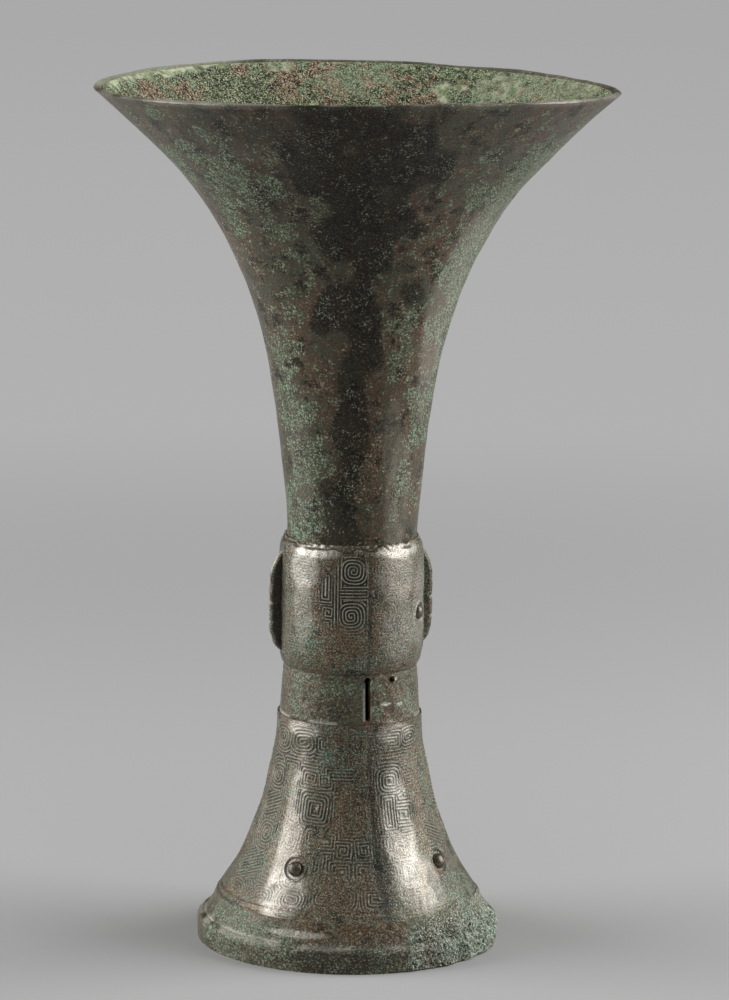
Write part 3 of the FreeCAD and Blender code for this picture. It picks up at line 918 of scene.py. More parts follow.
@dataclass
class Trumpet:
    """The flared mouth and the slender stem, as one wall with a slightly uneven lip."""

    levels: Levels
    finish: bpy.types.Material
    stem_radius: float = 20.0
    wall: float = 2.0
    lip_width: float = 2.4
    lip_crown: float = 0.7
    lip_slope: float = 50.0
    shares: tuple[tuple[float, float], ...] = (
        (0.17, 0.031), (0.39, 0.104), (0.60, 0.254), (0.77, 0.481), (0.91, 0.777),
    )
    knot_steps: int = 90
    columns: int = 384
    outer_count: int = 170
    inner_count: int = 40
    bow_count: int = 11
    droop: float = -0.35
    saddle: float = 1.05
    saddle_from: float = 185.0
    nick_angle: float = -1.0
    nick_depth: float = 0.35
    nick_width: float = 0.9
    blooms: Spots = (
        (-66, 240, 22, 12, 0.8), (-44, 226, 13, 9, 0.6), (-52, 200, 14, 10, 0.3), (50, 238, 22, 14, 0.8),
        (56, 203, 18, 38, 0.85), (-72, 134, 16, 10, 1.0), (36, 165, 14, 12, 0.6), (-66, 172, 16, 18, 0.7),
        (24, 142, 14, 12, 0.45), (-54, 146, 14, 16, 0.5), (12, 190, 10, 8, 0.5), (178, 225, 40, 30, 0.9),
        (130, 160, 30, 40, 0.7),
    )
    stains: Spots = (
        (-6, 148, 26, 14, 0.7), (-36, 168, 12, 16, 0.6), (18, 208, 12, 18, 0.6), (-66, 222, 12, 8, 0.6),
        (-30, 236, 10, 6, 0.5), (30, 140, 14, 10, 0.6), (200, 180, 40, 30, 0.5),
    )
    # Painted shade: dark patches down the front, where the side lamps leave the wall dark; those at the back
    # are darker patina.
    shades: Spots = (
        (-15, 195, 14, 65, 0.9), (-27, 133, 18, 22, 0.7), (-16, 241, 15, 20, 1.0), (-14, 255, 20, 12, 1.0),
        (-5, 236, 10, 14, 0.9), (-43, 237, 9, 9, 0.5), (-46, 257, 14, 6, 0.4), (150, 190, 20, 50, 0.6),
        (215, 225, 16, 24, 0.6),
    )
    # Painted highlights: worn, brighter patches on the flanks, where the side lamps light the wall.
    polish_and_highlight_spots: Spots = (
        (27, 140, 13, 20, 0.16), (-62, 150, 12, 18, 0.10), (44, 200, 14, 34, 0.26), (62, 236, 12, 20, 0.10),
        (16, 158, 8, 14, 0.12),
    )
    # Painted highlights along the front of the lip, left and right.
    glints: Spots = ((-50, 265, 17, 3, 1.0), (44, 265, 20, 3, 0.9))
    crusted: Spots = ((-133, 265, 34, 6, 1.0), (135, 265, 52, 6, 0.25))

    @property
    def lip_radius(self) -> float:
        """The radius of the lip."""
        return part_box("mouth")[1].x / MM

    @property
    def ends(self) -> tuple[Array, Array]:
        """The directions of both walls where they leave the knop and where they reach the lip."""
        slope = math.radians(self.lip_slope)
        return np.array([0.0, 1.0]), np.array([math.sin(slope), math.cos(slope)])

    def knots(self) -> Array:
        """The places that the outer wall runs through, from the knop to the lip."""
        stem = np.array([self.stem_radius, self.levels.trumpet])
        lip = np.array([self.lip_radius, self.levels.lip - self.lip_crown])
        return np.vstack([stem, stem + (lip - stem) * np.array(self.shares)[:, ::-1], lip])

    def inner_rows(self, shares: Array) -> Rows:
        """Rows of the inner wall, from the knop to the lip, facing the axis.

        The wall runs through the outer wall's places moved a wall's depth into the metal, and ends
        level with it, a lip's width nearer to the axis.

        Args:
            shares: where the rows lie, from 0 at the knop to 1 at the lip.

        Returns:
            The rows.
        """
        knots, steps = self.knots(), self.knot_steps
        curve = smooth_curve(knots, *self.ends, steps)
        count = len(knots) - 2
        step = curve[steps + 1::steps][:count] - curve[steps - 1::steps][:count]
        step /= np.linalg.norm(step, axis=1, keepdims=True)
        knots[0, 0] -= self.wall
        knots[1:-1] -= np.stack([step[:, 1], -step[:, 0]], axis=1) * self.wall
        knots[-1, 0] -= self.lip_width
        rows = Rows.along(smooth_curve(knots, *self.ends, steps), shares)
        return Rows(rows.radius, rows.height, -rows.out_radius, -rows.out_height)

    def uneven(self, angle: Array, height: Array) -> Array:
        """How much higher the wall lies than a level one: a saddle, d + s cos 2a, that grows to the lip."""
        grow = np.clip((height - self.saddle_from) / (self.levels.lip - self.saddle_from), 0, 1) ** 2
        return grow * (self.droop + self.saddle * np.cos(2 * np.radians(angle)))

    def build(self) -> None:
        """Makes the trumpet: outer wall, rounded lip and inner wall as one closed section."""
        low, top, lip = self.levels.stem_foot, self.levels.trumpet, self.levels.lip
        bow = np.linspace(0, math.pi, self.bow_count)[1:-1]
        across = self.lip_radius + (np.cos(bow) - 1) * self.lip_width / 2
        bore = self.stem_radius - self.wall
        rows = Rows.joined(
            Rows.straight(1.0, (self.stem_radius, low), (self.stem_radius, top)),
            Rows.along(
                smooth_curve(self.knots(), *self.ends, self.knot_steps), np.linspace(0, 1, self.outer_count),
            ),
            Rows(across, lip - self.lip_crown * (1 - np.sin(bow)), np.cos(bow) * 0.5, np.sin(bow)),
            self.inner_rows(np.linspace(1, 0, self.inner_count)),
            Rows.straight(2.0, (bore, top), (bore, low)),
        )
        angles = all_round(self.columns)
        plain = rows.turned(angles)
        past_lip, below_lip = rows.radius - self.lip_radius, rows.height - lip
        near_lip = hump(np.hypot(past_lip + 0.9, below_lip), 1.1)[:, None]
        nick_arc = np.radians(wrapped(angles - self.nick_angle, FULL_TURN)) * self.lip_radius
        nick = hump(nick_arc, self.nick_width)[None, :]
        lift = swells(plain, (0.10, 34, 11), (0.035, 7, 12), (0.012, 2.2, 13))
        lift = lift - self.nick_depth * nick * near_lip
        points, quads, caps = closed_wall(rows, angles, lift)
        points[..., 2] += self.uneven(angles[None, :], rows.height[:, None])
        angle, height = rows.grid(angles)
        # Worn spots on the lip, and painted highlights at its front left and right.
        rubbed_and_highlight = 0.4 * spotted(plain, 0.45, (0.6, 12, 15)) + 0.6 * painted(self.glints, angle, height)
        rim = painted(self.crusted, angle, height) * hump(np.hypot(past_lip + 1.2, below_lip), 1.7)[:, None]
        polish = near_lip * np.clip(rubbed_and_highlight, 0, 1) * (1 - rim)
        drift, rise = 7 * ripples(plain, 16, 16), 5 * ripples(plain, 13, 17)
        make_piece(
            "trumpet_wall", (points, quads, caps), self.finish, Slot.DARK, "mouth", "stem",
            bloom=painted(self.blooms, angle + drift, height + rise),
            stain=painted(self.stains, angle - drift, height + rise),
            shade=painted(self.shades, angle + drift, height),
            polish=np.maximum(polish, painted(self.polish_and_highlight_spots, angle, height)), carved=rim, thread=rim > 0.1,
        )


@dataclass
class MouthLining:
    """The mineral skin inside the mouth, granular over most of it and smooth along the back-left lip."""

    trumpet: Trumpet
    finish: bpy.types.Material
    thickness: float = 0.6
    below_lip: float = 0.9
    height: float = 112.0
    grit: float = 0.20
    least: float = 0.15
    columns: int = 744
    face_count: int = 116
    back_count: int = 16
    crowding: float = 1.9
    pales: Spots = (
        (-138, 264.9, 30, 2.4, 1.0), (-112, 264.6, 8, 2.4, 0.8), (-177, 263.8, 3.2, 2.4, 0.5),
        (140, 265.4, 44, 1.0, 0.5), (141, 256.5, 3.5, 3, 0.85), (127, 258.5, 9, 4, 0.35),
        (108, 261, 22, 6, 0.28), (166, 260, 10, 6, 0.22), (96, 264.8, 10, 2.2, 0.5),
    )
    earths: Spots = (
        (-168, 259, 11, 9, 0.4), (-177, 263, 6, 4, 1.5), (-134, 256, 22, 4, 0.6), (170, 252, 12, 3, 0.5),
        (153, 256.5, 9, 5, 0.9), (118, 258, 4, 5, 0.8), (60, 240, 20, 20, 0.6), (0, 235, 60, 26, 0.6),
    )

    def build(self) -> None:
        """Makes the lining: the wall's own inner face, and a face of grains in front of it.

        The rows of the grains lie at the shares 1 - (1 - t)^crowding, so they crowd towards the lip.
        """
        top = self.trumpet.levels.lip - self.below_lip
        share = np.linspace(0, 1, 1200)
        heights = self.trumpet.inner_rows(share).height
        low, high = (float(np.interp(level, heights, share)) for level in (top - self.height, top))
        fine = 1 - (1 - np.linspace(0, 1, self.face_count)) ** self.crowding
        face = self.trumpet.inner_rows(low + (high - low) * fine)
        rows = Rows.joined(face, self.trumpet.inner_rows(np.linspace(high, low, self.back_count)))
        angles = all_round(self.columns)
        plain = rows.turned(angles)
        angle, height = rows.grid(angles)
        drift, rise = 2.2 * ripples(plain, 8, 24), 0.7 * ripples(plain, 5, 25)
        pale = painted(self.pales, angle + drift, height + rise)
        lumps = swells(plain, (0.5, 3.4, 21), (0.6, 1.9, 22))
        lift = self.thickness + self.grit * lumps * (1 - 0.85 * pale) + 0.14 * ripples(plain, 14, 23)
        fade = np.ones(len(rows.radius))
        fade[: len(fine)] = ease(np.minimum(fine / 0.04, (1 - fine) / 0.01 + 0.4))
        lift = np.maximum(lift * fade[:, None], self.least)
        lift[len(fine):] = 0.0
        points, quads, caps = closed_wall(rows, angles, lift)
        points[..., 2] += self.trumpet.uneven(angle, height)
        make_piece(
            "mouth_lining_crust", (points, quads, caps), self.finish, Slot.CRUST, "mouth_lining", sharp=80.0,
            pale=pale, pit=ease(0.35 - 0.5 * lumps) * (1 - pale),
            earth=painted(self.earths, angle + 4 * drift, height + 3 * rise),
        )


@dataclass
class Register:
    """A register with threads and eyes: what the knop and the bell share."""

    levels: Levels
    finish: bpy.types.Material
    knot_steps: int = 60
    row_count: int = 280
    stains: Spots = ()
    blooms: Spots = ()
    # Worn metal and painted highlights, then painted shade and darker patina.
    polish_and_highlight_spots: Spots = ()
    shades: Spots = ()

    def curved(self, knots: Array) -> Rows:
        """The rows of a wall that runs smoothly through knots and is free of bend at both ends."""
        curve = smooth_curve(knots, None, None, self.knot_steps)
        return Rows.along(curve, np.linspace(0, 1, self.row_count))

    def looks(self, angle: Array, height: Array) -> dict[str, Array]:
        """The patches of the register at each place, by the names that the finish knows them by."""
        spots = {"stain": self.stains, "bloom": self.blooms, "polish": self.polish_and_highlight_spots, "shade": self.shades}
        return {name: painted(rows, angle, height) for name, rows in spots.items() if rows}

    def section(self, name: str, node: str, rows: Rows, angles: Array, lift: Array, **looks: Array) -> None:
        """Makes a sector of the wall, lifted and painted on its outer rows and plain behind them.

        Args:
            name: the piece's name.
            node: the CAD node that it replaces, together with the other sectors.
            rows: the rows of the closed section, the outer ones first.
            angles: the angles of its columns.
            lift: the lift of the outer rows.
            **looks: the values that the vertices of the outer rows carry, by name.
        """
        behind = (0, len(rows.radius) - len(lift)), (0, 0)
        looks = {key: np.pad(values, behind) for key, values in looks.items()}
        surface = closed_wall(rows, angles, np.pad(lift, behind), whole=False)
        make_piece(name, surface, self.finish, Slot.WORN, node, sharp=75.0, **looks)


@dataclass
class Knop(Register):
    """The barrel-shaped register in the middle, made as two halves that meet behind the flanges."""

    edge_radius: float = 20.5
    bulge: float = 1.9
    shares: tuple[tuple[float, float], ...] = (
        (0.02, 0.27), (0.06, 0.56), (0.14, 0.86), (0.36, 0.98), (0.60, 1.0), (0.82, 0.94), (0.93, 0.72),
    )
    seat_radius: float = 20.0
    bore: float = 18.0
    low_seat_radius: float = 19.4
    floor_level: float = 93.1
    seam_margin: float = 4.2
    columns: int = 361
    row_count: int = 236
    eye: EyeSeat = EyeSeat("knop", 55.0, 104.0, 2.3, 1.5, 3.0)
    ornament: Ornament = Ornament(
        (
            *pair(13.2, 119.3, 0.1, 0.2, 1, 2.7, 0.9), *pair(14.7, 105.4, 0.1, 0.2, -1, 2.7, 1.2),
            *pair(13.6, 112.4, 3.6, 0.0, 0, 9.0, -1.2), *pair(2.0, 111.0, 0.0, 12.0, 0, 9.0, -3.2),
            Whorl(-35.0, 114.0, 0.1, 2.6, 0, 9.0, 0.6), Whorl(-33.0, 106.2, 0.3, 0.3, 1, 5.0, 0.3),
            Whorl(-27.6, 111.0, 0.0, 11.0, 0, 9.0, -0.7), Whorl(-14.0, 95.0, 4.0, 0.0, 1, 6.0),
            Whorl(34.0, 113.0, 0.4, 2.6, 1, 6.0), Whorl(32.0, 98.0, 1.2, 0.4, -1, 6.0),
            *pair(52.0, 118.0, 3.0, 0.0, 1, 3.2), *pair(70.0, 110.0, 0.0, 6.0, 1, 5.0),
            *pair(52.0, 104.0, 3.4, 3.4, 0, 2.0), *pair(56.0, 93.0, 5.0, 0.0, 0, 6.0),
        ),
        ((-14.5, 112.4, 13.5, 12.6, 1.0), (-31, 110, 8, 7.5, 0.85)), pitch=0.98, least=0.16, seed=43,
    )
    stains: Spots = (
        (-29, 97.5, 20, 6.5, 1.2), (-34, 104, 10, 5, 0.9), (-5, 95, 14, 7, 0.5), (150, 98, 22, 7, 0.9),
    )
    blooms: Spots = (
        (-50, 96, 18, 6, 0.8), (70, 108, 8, 14, 0.9), (-58, 112, 12, 14, 0.45), (-5, 90, 14, 3, 0.6),
    )
    # Worn bare metal, and painted highlights where the lamps shine on the knop's left and right.
    polish_and_highlight_spots: Spots = (
        (-56, 119, 14, 6, 0.55), (-56, 107, 9, 12, 0.3), (25, 117, 18, 8, 0.4), (28, 100, 18, 10, 0.25),
        (28, 124.5, 22, 2, 0.6), (-45, 124.5, 20, 2, 0.8), (55, 106, 12, 14, 0.32), (205, 112, 30, 12, 0.6),
    )

    def outer_rows(self) -> Rows:
        """The rows of the outer wall: a smooth curve from the lower edge over the belly to the upper edge."""
        low = np.array([self.edge_radius, self.levels.knop])
        high = np.array([self.edge_radius, self.levels.trumpet])
        span = np.array([self.bulge, self.levels.trumpet - self.levels.knop])
        belly = low + span * np.array(self.shares)[:, ::-1]
        return self.curved(np.vstack([low, belly, high]))

    def build(self) -> None:
        """Makes the two halves and the four eyes, with a cracked line of crust under the top edge."""
        low, top, ledge = self.levels.knop, self.levels.trumpet, self.levels.stem_foot
        outer = self.outer_rows()
        rows = Rows.joined(outer, Rows.straight(
            3.0, (self.seat_radius, top), (self.seat_radius, ledge), (self.bore, ledge),
            (self.bore + 1.8, (ledge + self.floor_level) / 2), (self.bore, self.floor_level),
            (self.low_seat_radius, self.floor_level), (self.low_seat_radius, low),
        ))
        for side, middle in FACES:
            angles = middle + np.linspace(-90, 90, self.columns)
            angle, height = outer.grid(angles)
            plain = outer.turned(angles)
            carve, thread, crisp = self.ornament.lay(outer, angles, low + 1.8, top - 2.6)
            bare = self.eye.bare(outer, angles)
            edge = ease((top - outer.height) / 1.2)[:, None]
            ragged = 0.28 * (1 - edge) * np.minimum(ripples(plain, 2.6, 48), 0.6)
            below = top - 1.1 + 0.45 * ripples(plain, 5.5, 49) - outer.height[:, None]
            crack = hump(below, 0.36) * spotted(plain, 0.75, (0.5, 7, 50))
            groove = seam_groove(outer, angles, low + self.seam_margin, top - self.seam_margin)
            wander = swells(plain, (0.07, 11, 45), (0.02, 3.1, 46), (0.008, 1.2, 47))
            lift = carve * bare + wander + ragged + self.eye.carve(outer, angles) + groove - 0.3 * crack
            seam = hump(wrapped(angle, HALF_TURN), 2.2) * 0.5
            self.section(
                f"knop_{side}_half", "knop", rows, angles, lift, thread=thread * (1 - crack) * (1 - seam),
                carved=np.maximum(np.maximum(crisp * bare, crack), seam), **self.looks(angle, height),
            )
        self.eye.build(outer, self.finish)


@dataclass
class Flanges:
    """The two notched flanges on the sides of the knop."""

    knop: Knop
    finish: bpy.types.Material
    length: float = 31.0
    below_stem: float = 4.6
    reach: float = 26.0
    thickness: float = 2.8
    root: float = 19.4
    section_count: int = 170
    edge_share: float = 0.42
    thinning: float = 0.12
    shares: tuple[tuple[float, float], ...] = (
        (0.00, 0.00), (0.05, 0.34), (0.15, 0.78), (0.26, 0.94), (0.40, 1.00), (0.485, 0.98), (0.51, 0.84),
        (0.535, 1.00), (0.675, 1.00), (0.70, 0.86), (0.725, 0.96), (0.80, 0.91), (0.91, 0.64), (1.00, 0.10),
    )

    def build(self) -> None:
        """Makes each flange as a stack of sections: a flat tenon that ends in a rounded edge.

        Across a section the place is x = root + (tip - root) c and y = t s, where c and s run through
        the root, the two flats and the quarter rounds of the edge.
        """
        wall = self.knop.outer_rows()
        down = np.linspace(0, 1, self.section_count)
        level = self.knop.levels.trumpet - self.below_stem - self.length * down
        face = np.interp(level, wall.height, wall.radius)
        tip = face + (self.reach - face) * np.interp(down, *np.array(self.shares).T)
        bend = np.linspace(-math.pi / 2, math.pi / 2, 21)
        flat = np.linspace(0, 1, 10)[:-1]
        flush = np.zeros(len(flat))
        inward = np.concatenate([1 - flat, np.zeros(len(bend)), flat[::-1][:-1], [1.0]])
        bulge = np.concatenate([flush, np.cos(bend), flush])
        side = np.concatenate([flush - 1, np.sin(bend), flush + 1])
        depth = self.thickness * self.edge_share
        straight = (tip - depth * np.minimum(1, (tip - self.root) / depth))[:, None]
        x = straight + (self.root - straight) * inward + depth * bulge
        y = np.broadcast_to(self.thickness / 2 * side * (1 - self.thinning * bulge), x.shape)
        z = np.broadcast_to(level[:, None], x.shape)
        for hand, sign in HANDS:
            points = np.stack([x * sign, y * sign, z], axis=-1)
            points += 0.05 * ripples(points, 3.5, 51)[..., None] * np.array([1.0, 1.0, 0.3])
            rim = np.broadcast_to(bulge > 0.9, x.shape) * spotted(points, 0.7, (0.5, 5, 52))
            # Painted shade over the flat faces, deep on the left flange and light on the right one.
            hollow_and_shade = np.broadcast_to(1.0 - bulge, x.shape) * (0.8 if hand == "left" else 0.25)
            make_piece(
                f"flange_{hand}_plate", stacked(points), self.finish, Slot.WORN, f"flange_{hand}", sharp=40.0,
                polish=rim * 0.9, carved=hollow_and_shade * (1 - rim), thread=np.zeros_like(x),
            )


@dataclass
class Collar:
    """The plain neck, pierced by a core slot on each seam and one small vent."""

    levels: Levels
    finish: bpy.types.Material
    foot_radius: float = 21.6
    top_radius: float = 20.5
    wall: float = 2.2
    top_seat_radius: float = 19.4
    foot_seat_radius: float = 20.5
    slot_length: float = 13.4
    slot_width: float = 1.5
    slot_head: float = 1.0
    slot_below: float = 0.6
    vent_angle: float = 23.4
    vent_radius: float = 1.0
    vent_below: float = 1.9
    columns: int = 560
    row_count: int = 64
    stains: Spots = ((-40, 80, 18, 6, 0.6), (36, 80, 12, 4, 0.5))
    blooms: Spots = (
        (-22, 83, 14, 3, 0.9), (-65, 80, 10, 6, 0.9), (8, 80, 6, 6, 0.8), (45, 77, 12, 3, 0.6),
    )
    dashes: Spots = ((16.7, 77.3, 5, 0.5, 0.9), (30.7, 76.8, 4, 0.5, 0.8), (27.6, 84.8, 1.6, 0.5, 0.7))

    def clear(self, angle: Array, height: Array) -> Array:
        """The distance from the nearest opening, in millimetres, less than nothing inside one.

        A slot is an upright bar with a disc at its head, and the vent is a disc. The distance from a
        shape is the distance from its core less its radius, and openings are joined by the least.

        Args:
            angle: the angles of the places.
            height: their heights.

        Returns:
            The distance at each place.
        """
        arc = np.radians(wrapped(angle, HALF_TURN)) * self.top_radius
        top = self.levels.knop - self.slot_below
        half = self.slot_width / 2
        low, high = top - self.slot_length + half, top - self.slot_head
        bar = np.hypot(arc, height - np.clip(height, low, high)) - half
        head = np.hypot(arc, height - high) - self.slot_head
        vent_arc = np.radians(wrapped(angle - self.vent_angle, FULL_TURN)) * self.top_radius
        vent = np.hypot(vent_arc, height - (self.levels.knop - self.vent_below)) - self.vent_radius
        return np.minimum(np.minimum(bar, head), vent)

    def settled(self, angle: Array, level: Array, keep: Array) -> tuple[Array, Array]:
        """The grid with the places of cells at an opening's edge moved onto it.

        Six times over they go against the slope of the distance, by the distance over its steepness.

        Args:
            angle: the angles of the places.
            level: their heights.
            keep: True for each cell that stays.

        Returns:
            The new angles and heights.
        """
        touched, inside = np.zeros(angle.shape, bool), np.zeros(angle.shape, bool)
        for down in (slice(0, -1), slice(1, None)):
            touched[down] |= ~keep | np.roll(~keep, 1, axis=1)
            inside[down] |= keep | np.roll(keep, 1, axis=1)
        edge = touched & inside
        passes, reach, least_slope, degree = 6, 0.02, 0.3, math.degrees(1 / self.top_radius)
        for _ in range(passes):
            here = self.clear(angle, level)
            east = (self.clear(angle + reach * degree, level) - here) / reach
            north = (self.clear(angle, level + reach) - here) / reach
            size = np.maximum(np.hypot(east, north), least_slope)
            angle = np.where(edge, angle - here * east / size**2 * degree, angle)
            level = np.where(edge, level - here * north / size**2, level)
        return angle, level

    def build(self) -> None:
        """Makes the collar: two grids with the cells of the openings left out."""
        low, high = self.levels.collar, self.levels.knop
        climb = np.linspace(0, 1, self.row_count)
        height = np.concatenate([
            [foot_of("collar"), low - 0.01], low + (high - low) * climb, [high + 0.01, top_of("collar")],
        ])
        body = self.foot_radius + (self.top_radius - self.foot_radius) * climb
        radius = np.concatenate([[self.foot_seat_radius] * 2, body, [self.top_seat_radius] * 2])
        angle, level = np.broadcast_arrays(all_round(self.columns)[None, :], height[:, None])
        keep = self.clear(angle[:-1] + FULL_TURN / self.columns / 2, (level[:-1] + level[1:]) / 2) > 0
        angle, level = self.settled(angle, level, keep)
        radii = np.broadcast_to(radius[:, None], angle.shape)
        bores = np.interp(level, [low, high], [self.foot_radius - self.wall, self.top_radius - self.wall])
        plain = round_axis(radii, angle, level)
        far = np.maximum(self.clear(angle, level), 0)
        rise = swells(plain, (0.06, 9, 61), (0.03, 3, 62), (0.015, 1.3, 63)) + hump(far, 0.35) * 0.10
        outer = round_axis(radii + rise * ease(np.minimum(level - low, high - level) / 0.5), angle, level)
        surface, used = pierced_wall(outer, round_axis(bores, angle, level), keep, whole=True)
        arc = np.radians(wrapped(angle, FULL_TURN)) * self.top_radius
        left_edge = hump(arc + self.slot_width / 2 + 0.3, 0.28) * (level < high - 4) * (level > low + 1.2)
        step = hump(level - low - 0.2, 0.6) * spotted(plain, 0.4, (0.8, 8, 64))
        polish = np.clip(np.maximum(left_edge, step * 0.9), 0, 1)
        polish = np.maximum(polish, painted(self.dashes, angle, level))
        drift, lie = 6 * ripples(plain, 7, 65), 1.2 * ripples(plain, 5, 66)
        stain = painted(self.stains, angle + drift, level + lie, HALF_TURN)
        bloom = painted(self.blooms, angle + drift, level + lie, HALF_TURN)
        earth = hump(far, 0.5)
        looks = {"polish": (polish, 0 * polish), "bloom": (bloom, 0 * bloom),
                 "stain": (np.maximum(stain, earth * 0.4), earth * 2)}
        looks = {name: np.concatenate(sides).ravel()[used] for name, sides in looks.items()}
        make_piece("collar_neck", surface, self.finish, Slot.DARK, "collar", sharp=50.0, **looks)


@dataclass
class Bell(Register):
    """The ornamented bell of the foot, made as the four sections between the mould seams and the sides."""

    top_radius: float = 22.2
    foot_radius: float = 40.8
    shares: tuple[tuple[float, float], ...] = (
        (0.165, 0.035), (0.34, 0.142), (0.50, 0.254), (0.655, 0.422), (0.80, 0.613), (0.90, 0.787),
    )
    wall: float = 2.2
    inner_step: int = 8
    left_at_top: int = 24
    seat_radius: float = 20.5
    seat_lap: float = 3.5
    bore: float = 19.4
    seam_margin: float = 3.0
    borders: tuple[float, ...] = (0.9, 2.5)
    border_depth: float = 0.28
    border_width: float = 0.42
    crisp_share: float = 0.5
    columns: int = 251
    eye: EyeSeat = EyeSeat("foot", 44.5, 28.0, 2.4, 1.9, 3.5, ring=0.28)
    ornament: Ornament = Ornament(
        (
            Whorl(-77.5, 64.9, 0.2, 0.6, 1, 2.3, stretch=1.3),
            Whorl(-76.5, 53.4, 0.2, 0.6, -1, 2.3, stretch=1.3),
            Whorl(-74.5, 44.3, 3.6, 0.0, 0, 3.0, -0.6, 21.0),
            Whorl(-73.8, 35.8, 0.2, 0.7, 1, 2.3, stretch=1.3), *pair(78.0, 25.4, 5.0, 0.0, 0, 3.0, 0.0, 22.0),
            Whorl(-53.0, 65.0, 0.6, 0.2, -1, 2.6, stretch=1.3),
            Whorl(-62.0, 45.0, 0.0, 11.0, 0, 9.0), Whorl(-51.5, 36.0, 0.4, 1.0, 1, 4.0),
            Whorl(-43.5, 54.7, 0.6, 0.1, 1, 9.0), Whorl(-32.2, 54.3, 0.3, 0.3, -1, 9.0),
            Whorl(-37.5, 45.6, 0.9, 1.1, 1, 5.0, 0.8), Whorl(-15.5, 45.2, 1.8, 2.2, 1, 7.0),
            Whorl(-16.0, 56.0, 4.5, 0.0, 0, 9.0), Whorl(-25.0, 65.0, 3.6, 0.0, 0, 6.0),
            Whorl(-17.5, 34.1, 0.4, 0.4, 1, 9.0), Whorl(-5.5, 34.3, 0.3, 0.6, -1, 9.0),
            Whorl(-31.0, 36.5, 2.2, 0.3, 0, 7.0), Whorl(-6.0, 28.6, 0.8, 0.3, 1, 9.0),
            Whorl(-19.0, 28.2, 0.8, 0.3, -1, 9.0), Whorl(-5.0, 65.5, 1.2, 0.3, 1, 3.0),
            Whorl(15.7, 54.0, 0.7, 0.4, 1, 3.0, 0.6), Whorl(24.5, 43.4, 1.0, 0.6, 1, 9.0),
            Whorl(13.0, 44.5, 0.0, 3.0, 0, 9.0), Whorl(39.4, 66.2, 1.2, 0.2, -1, 2.6),
            Whorl(15.0, 65.8, 3.0, 0.0, 0, 6.0), Whorl(40.0, 54.0, 3.2, 0.0, 0, 6.0),
            Whorl(50.5, 35.5, 4.0, 0.0, 0, 6.0, 0.0, -24.0), Whorl(40.0, 44.0, 0.0, 2.0, 1, 5.0),
            Whorl(17.0, 33.5, 0.5, 0.5, 1, 9.0), Whorl(28.0, 35.0, 1.8, 0.2, -1, 6.0),
            Whorl(8.0, 27.5, 0.8, 0.3, -1, 9.0), Whorl(76.5, 52.9, 1.4, 0.0, 1, 2.4),
            Whorl(78.0, 64.9, 1.8, 0.0, -1, 2.4), Whorl(75.0, 44.3, 3.6, 0.0, 0, 3.0, 0.0, -21.0),
            Whorl(73.8, 35.5, 1.4, 0.3, -1, 2.4), Whorl(60.0, 45.0, 0.0, 11.0, 0, 9.0),
            Whorl(56.0, 64.0, 2.4, 0.0, 0, 5.0),
            *pair(42.5, 19.5, 1.2, 0.0, 1, 2.2), *pair(60.0, 19.0, 1.0, 0.0, -1, 2.2),
            *pair(22.0, 20.5, 3.6, 0.0, 1, 3.0), Whorl(0.0, 20.5, 1.6, 0.2, 1, 5.0),
            *pair(40.4, 28.0, 3.4, 3.4, 0, 2.0), *pair(62.0, 27.0, 1.0, 2.2, 1, 4.0),
            *pair(80.0, 18.5, 1.4, 0.0, 1, 2.2),
        ),
        (
            (-76, 48, 13, 24, 0.95), (-50, 63, 16, 7, 0.75), (-38, 50, 15, 10, 0.9), (-16, 33, 15, 6, 0.85),
            (15, 54, 12, 8, 0.85), (24, 44, 12, 6, 0.75), (-6, 19.5, 8, 4, 0.7), (35, 66, 16, 5, 0.7),
            (50, 36, 10, 7, 0.9), (-80, 24, 12, 6, 0.8), (-18, 56, 9, 2.5, 0.6), (-50, 19, 24, 4, 0.5),
            (76, 46, 12, 22, 0.8),
        ),
        pitch=1.0, least=0.30, seed=71,
    )
    stains: Spots = (
        (-16, 44, 13, 10, 0.95), (-12, 23, 20, 8, 1.0), (-22, 32, 12, 6, 0.8), (62, 50, 10, 16, 0.7),
        (-78, 19, 12, 4, 0.8), (170, 44, 20, 14, 0.8), (5, 62, 14, 6, 0.6), (38, 24, 8, 4.5, 0.8),
    )
    blooms: Spots = (
        (-30, 60, 14, 6, 0.7), (55, 50, 8, 10, 0.8), (-5, 66, 10, 4, 0.7), (-75, 26, 14, 6, 0.8),
        (50, 19, 20, 5, 1.0), (150, 30, 25, 14, 0.8),
    )
    # Worn bare metal, and painted highlights where the lamps shine on the bell's left and right.
    polish_and_highlight_spots: Spots = (
        (-52, 38, 8, 24, 0.5), (-48, 21, 12, 7, 0.5), (19, 40, 11, 17, 0.64), (24, 24, 14, 8, 0.32),
        (31, 23, 8, 6, 0.2), (21, 50, 7, 9, 0.3), (25, 68, 18, 3, 0.45), (-55, 69, 16, 2.5, 0.6),
        (150, 45, 14, 24, 0.7), (215, 45, 14, 24, 0.7),
    )
    # Painted shade down the front of the bell, where the side lamps leave it dark; the patch at the back is
    # darker patina.
    shades: Spots = (
        (-13, 24, 17, 14, 0.35), (-12, 62, 14, 14, 0.3), (-9, 44, 8, 14, 0.3), (-43, 65, 7, 5, 0.7),
        (7, 40, 4, 26, 0.45), (8, 62, 8, 8, 0.6), (-72, 20, 10, 6, 0.3), (2, 28, 7, 10, 0.5),
        (165, 40, 18, 24, 0.4),
    )

    def outer_rows(self) -> Rows:
        """The rows of the outer wall: a smooth curve from the foot up to the collar."""
        foot = np.array([self.foot_radius, self.levels.bell])
        top = np.array([self.top_radius, self.levels.collar])
        between_ends = top + (foot - top) * np.array(self.shares)[:, ::-1]
        return self.curved(np.vstack([top, between_ends, foot])[::-1])

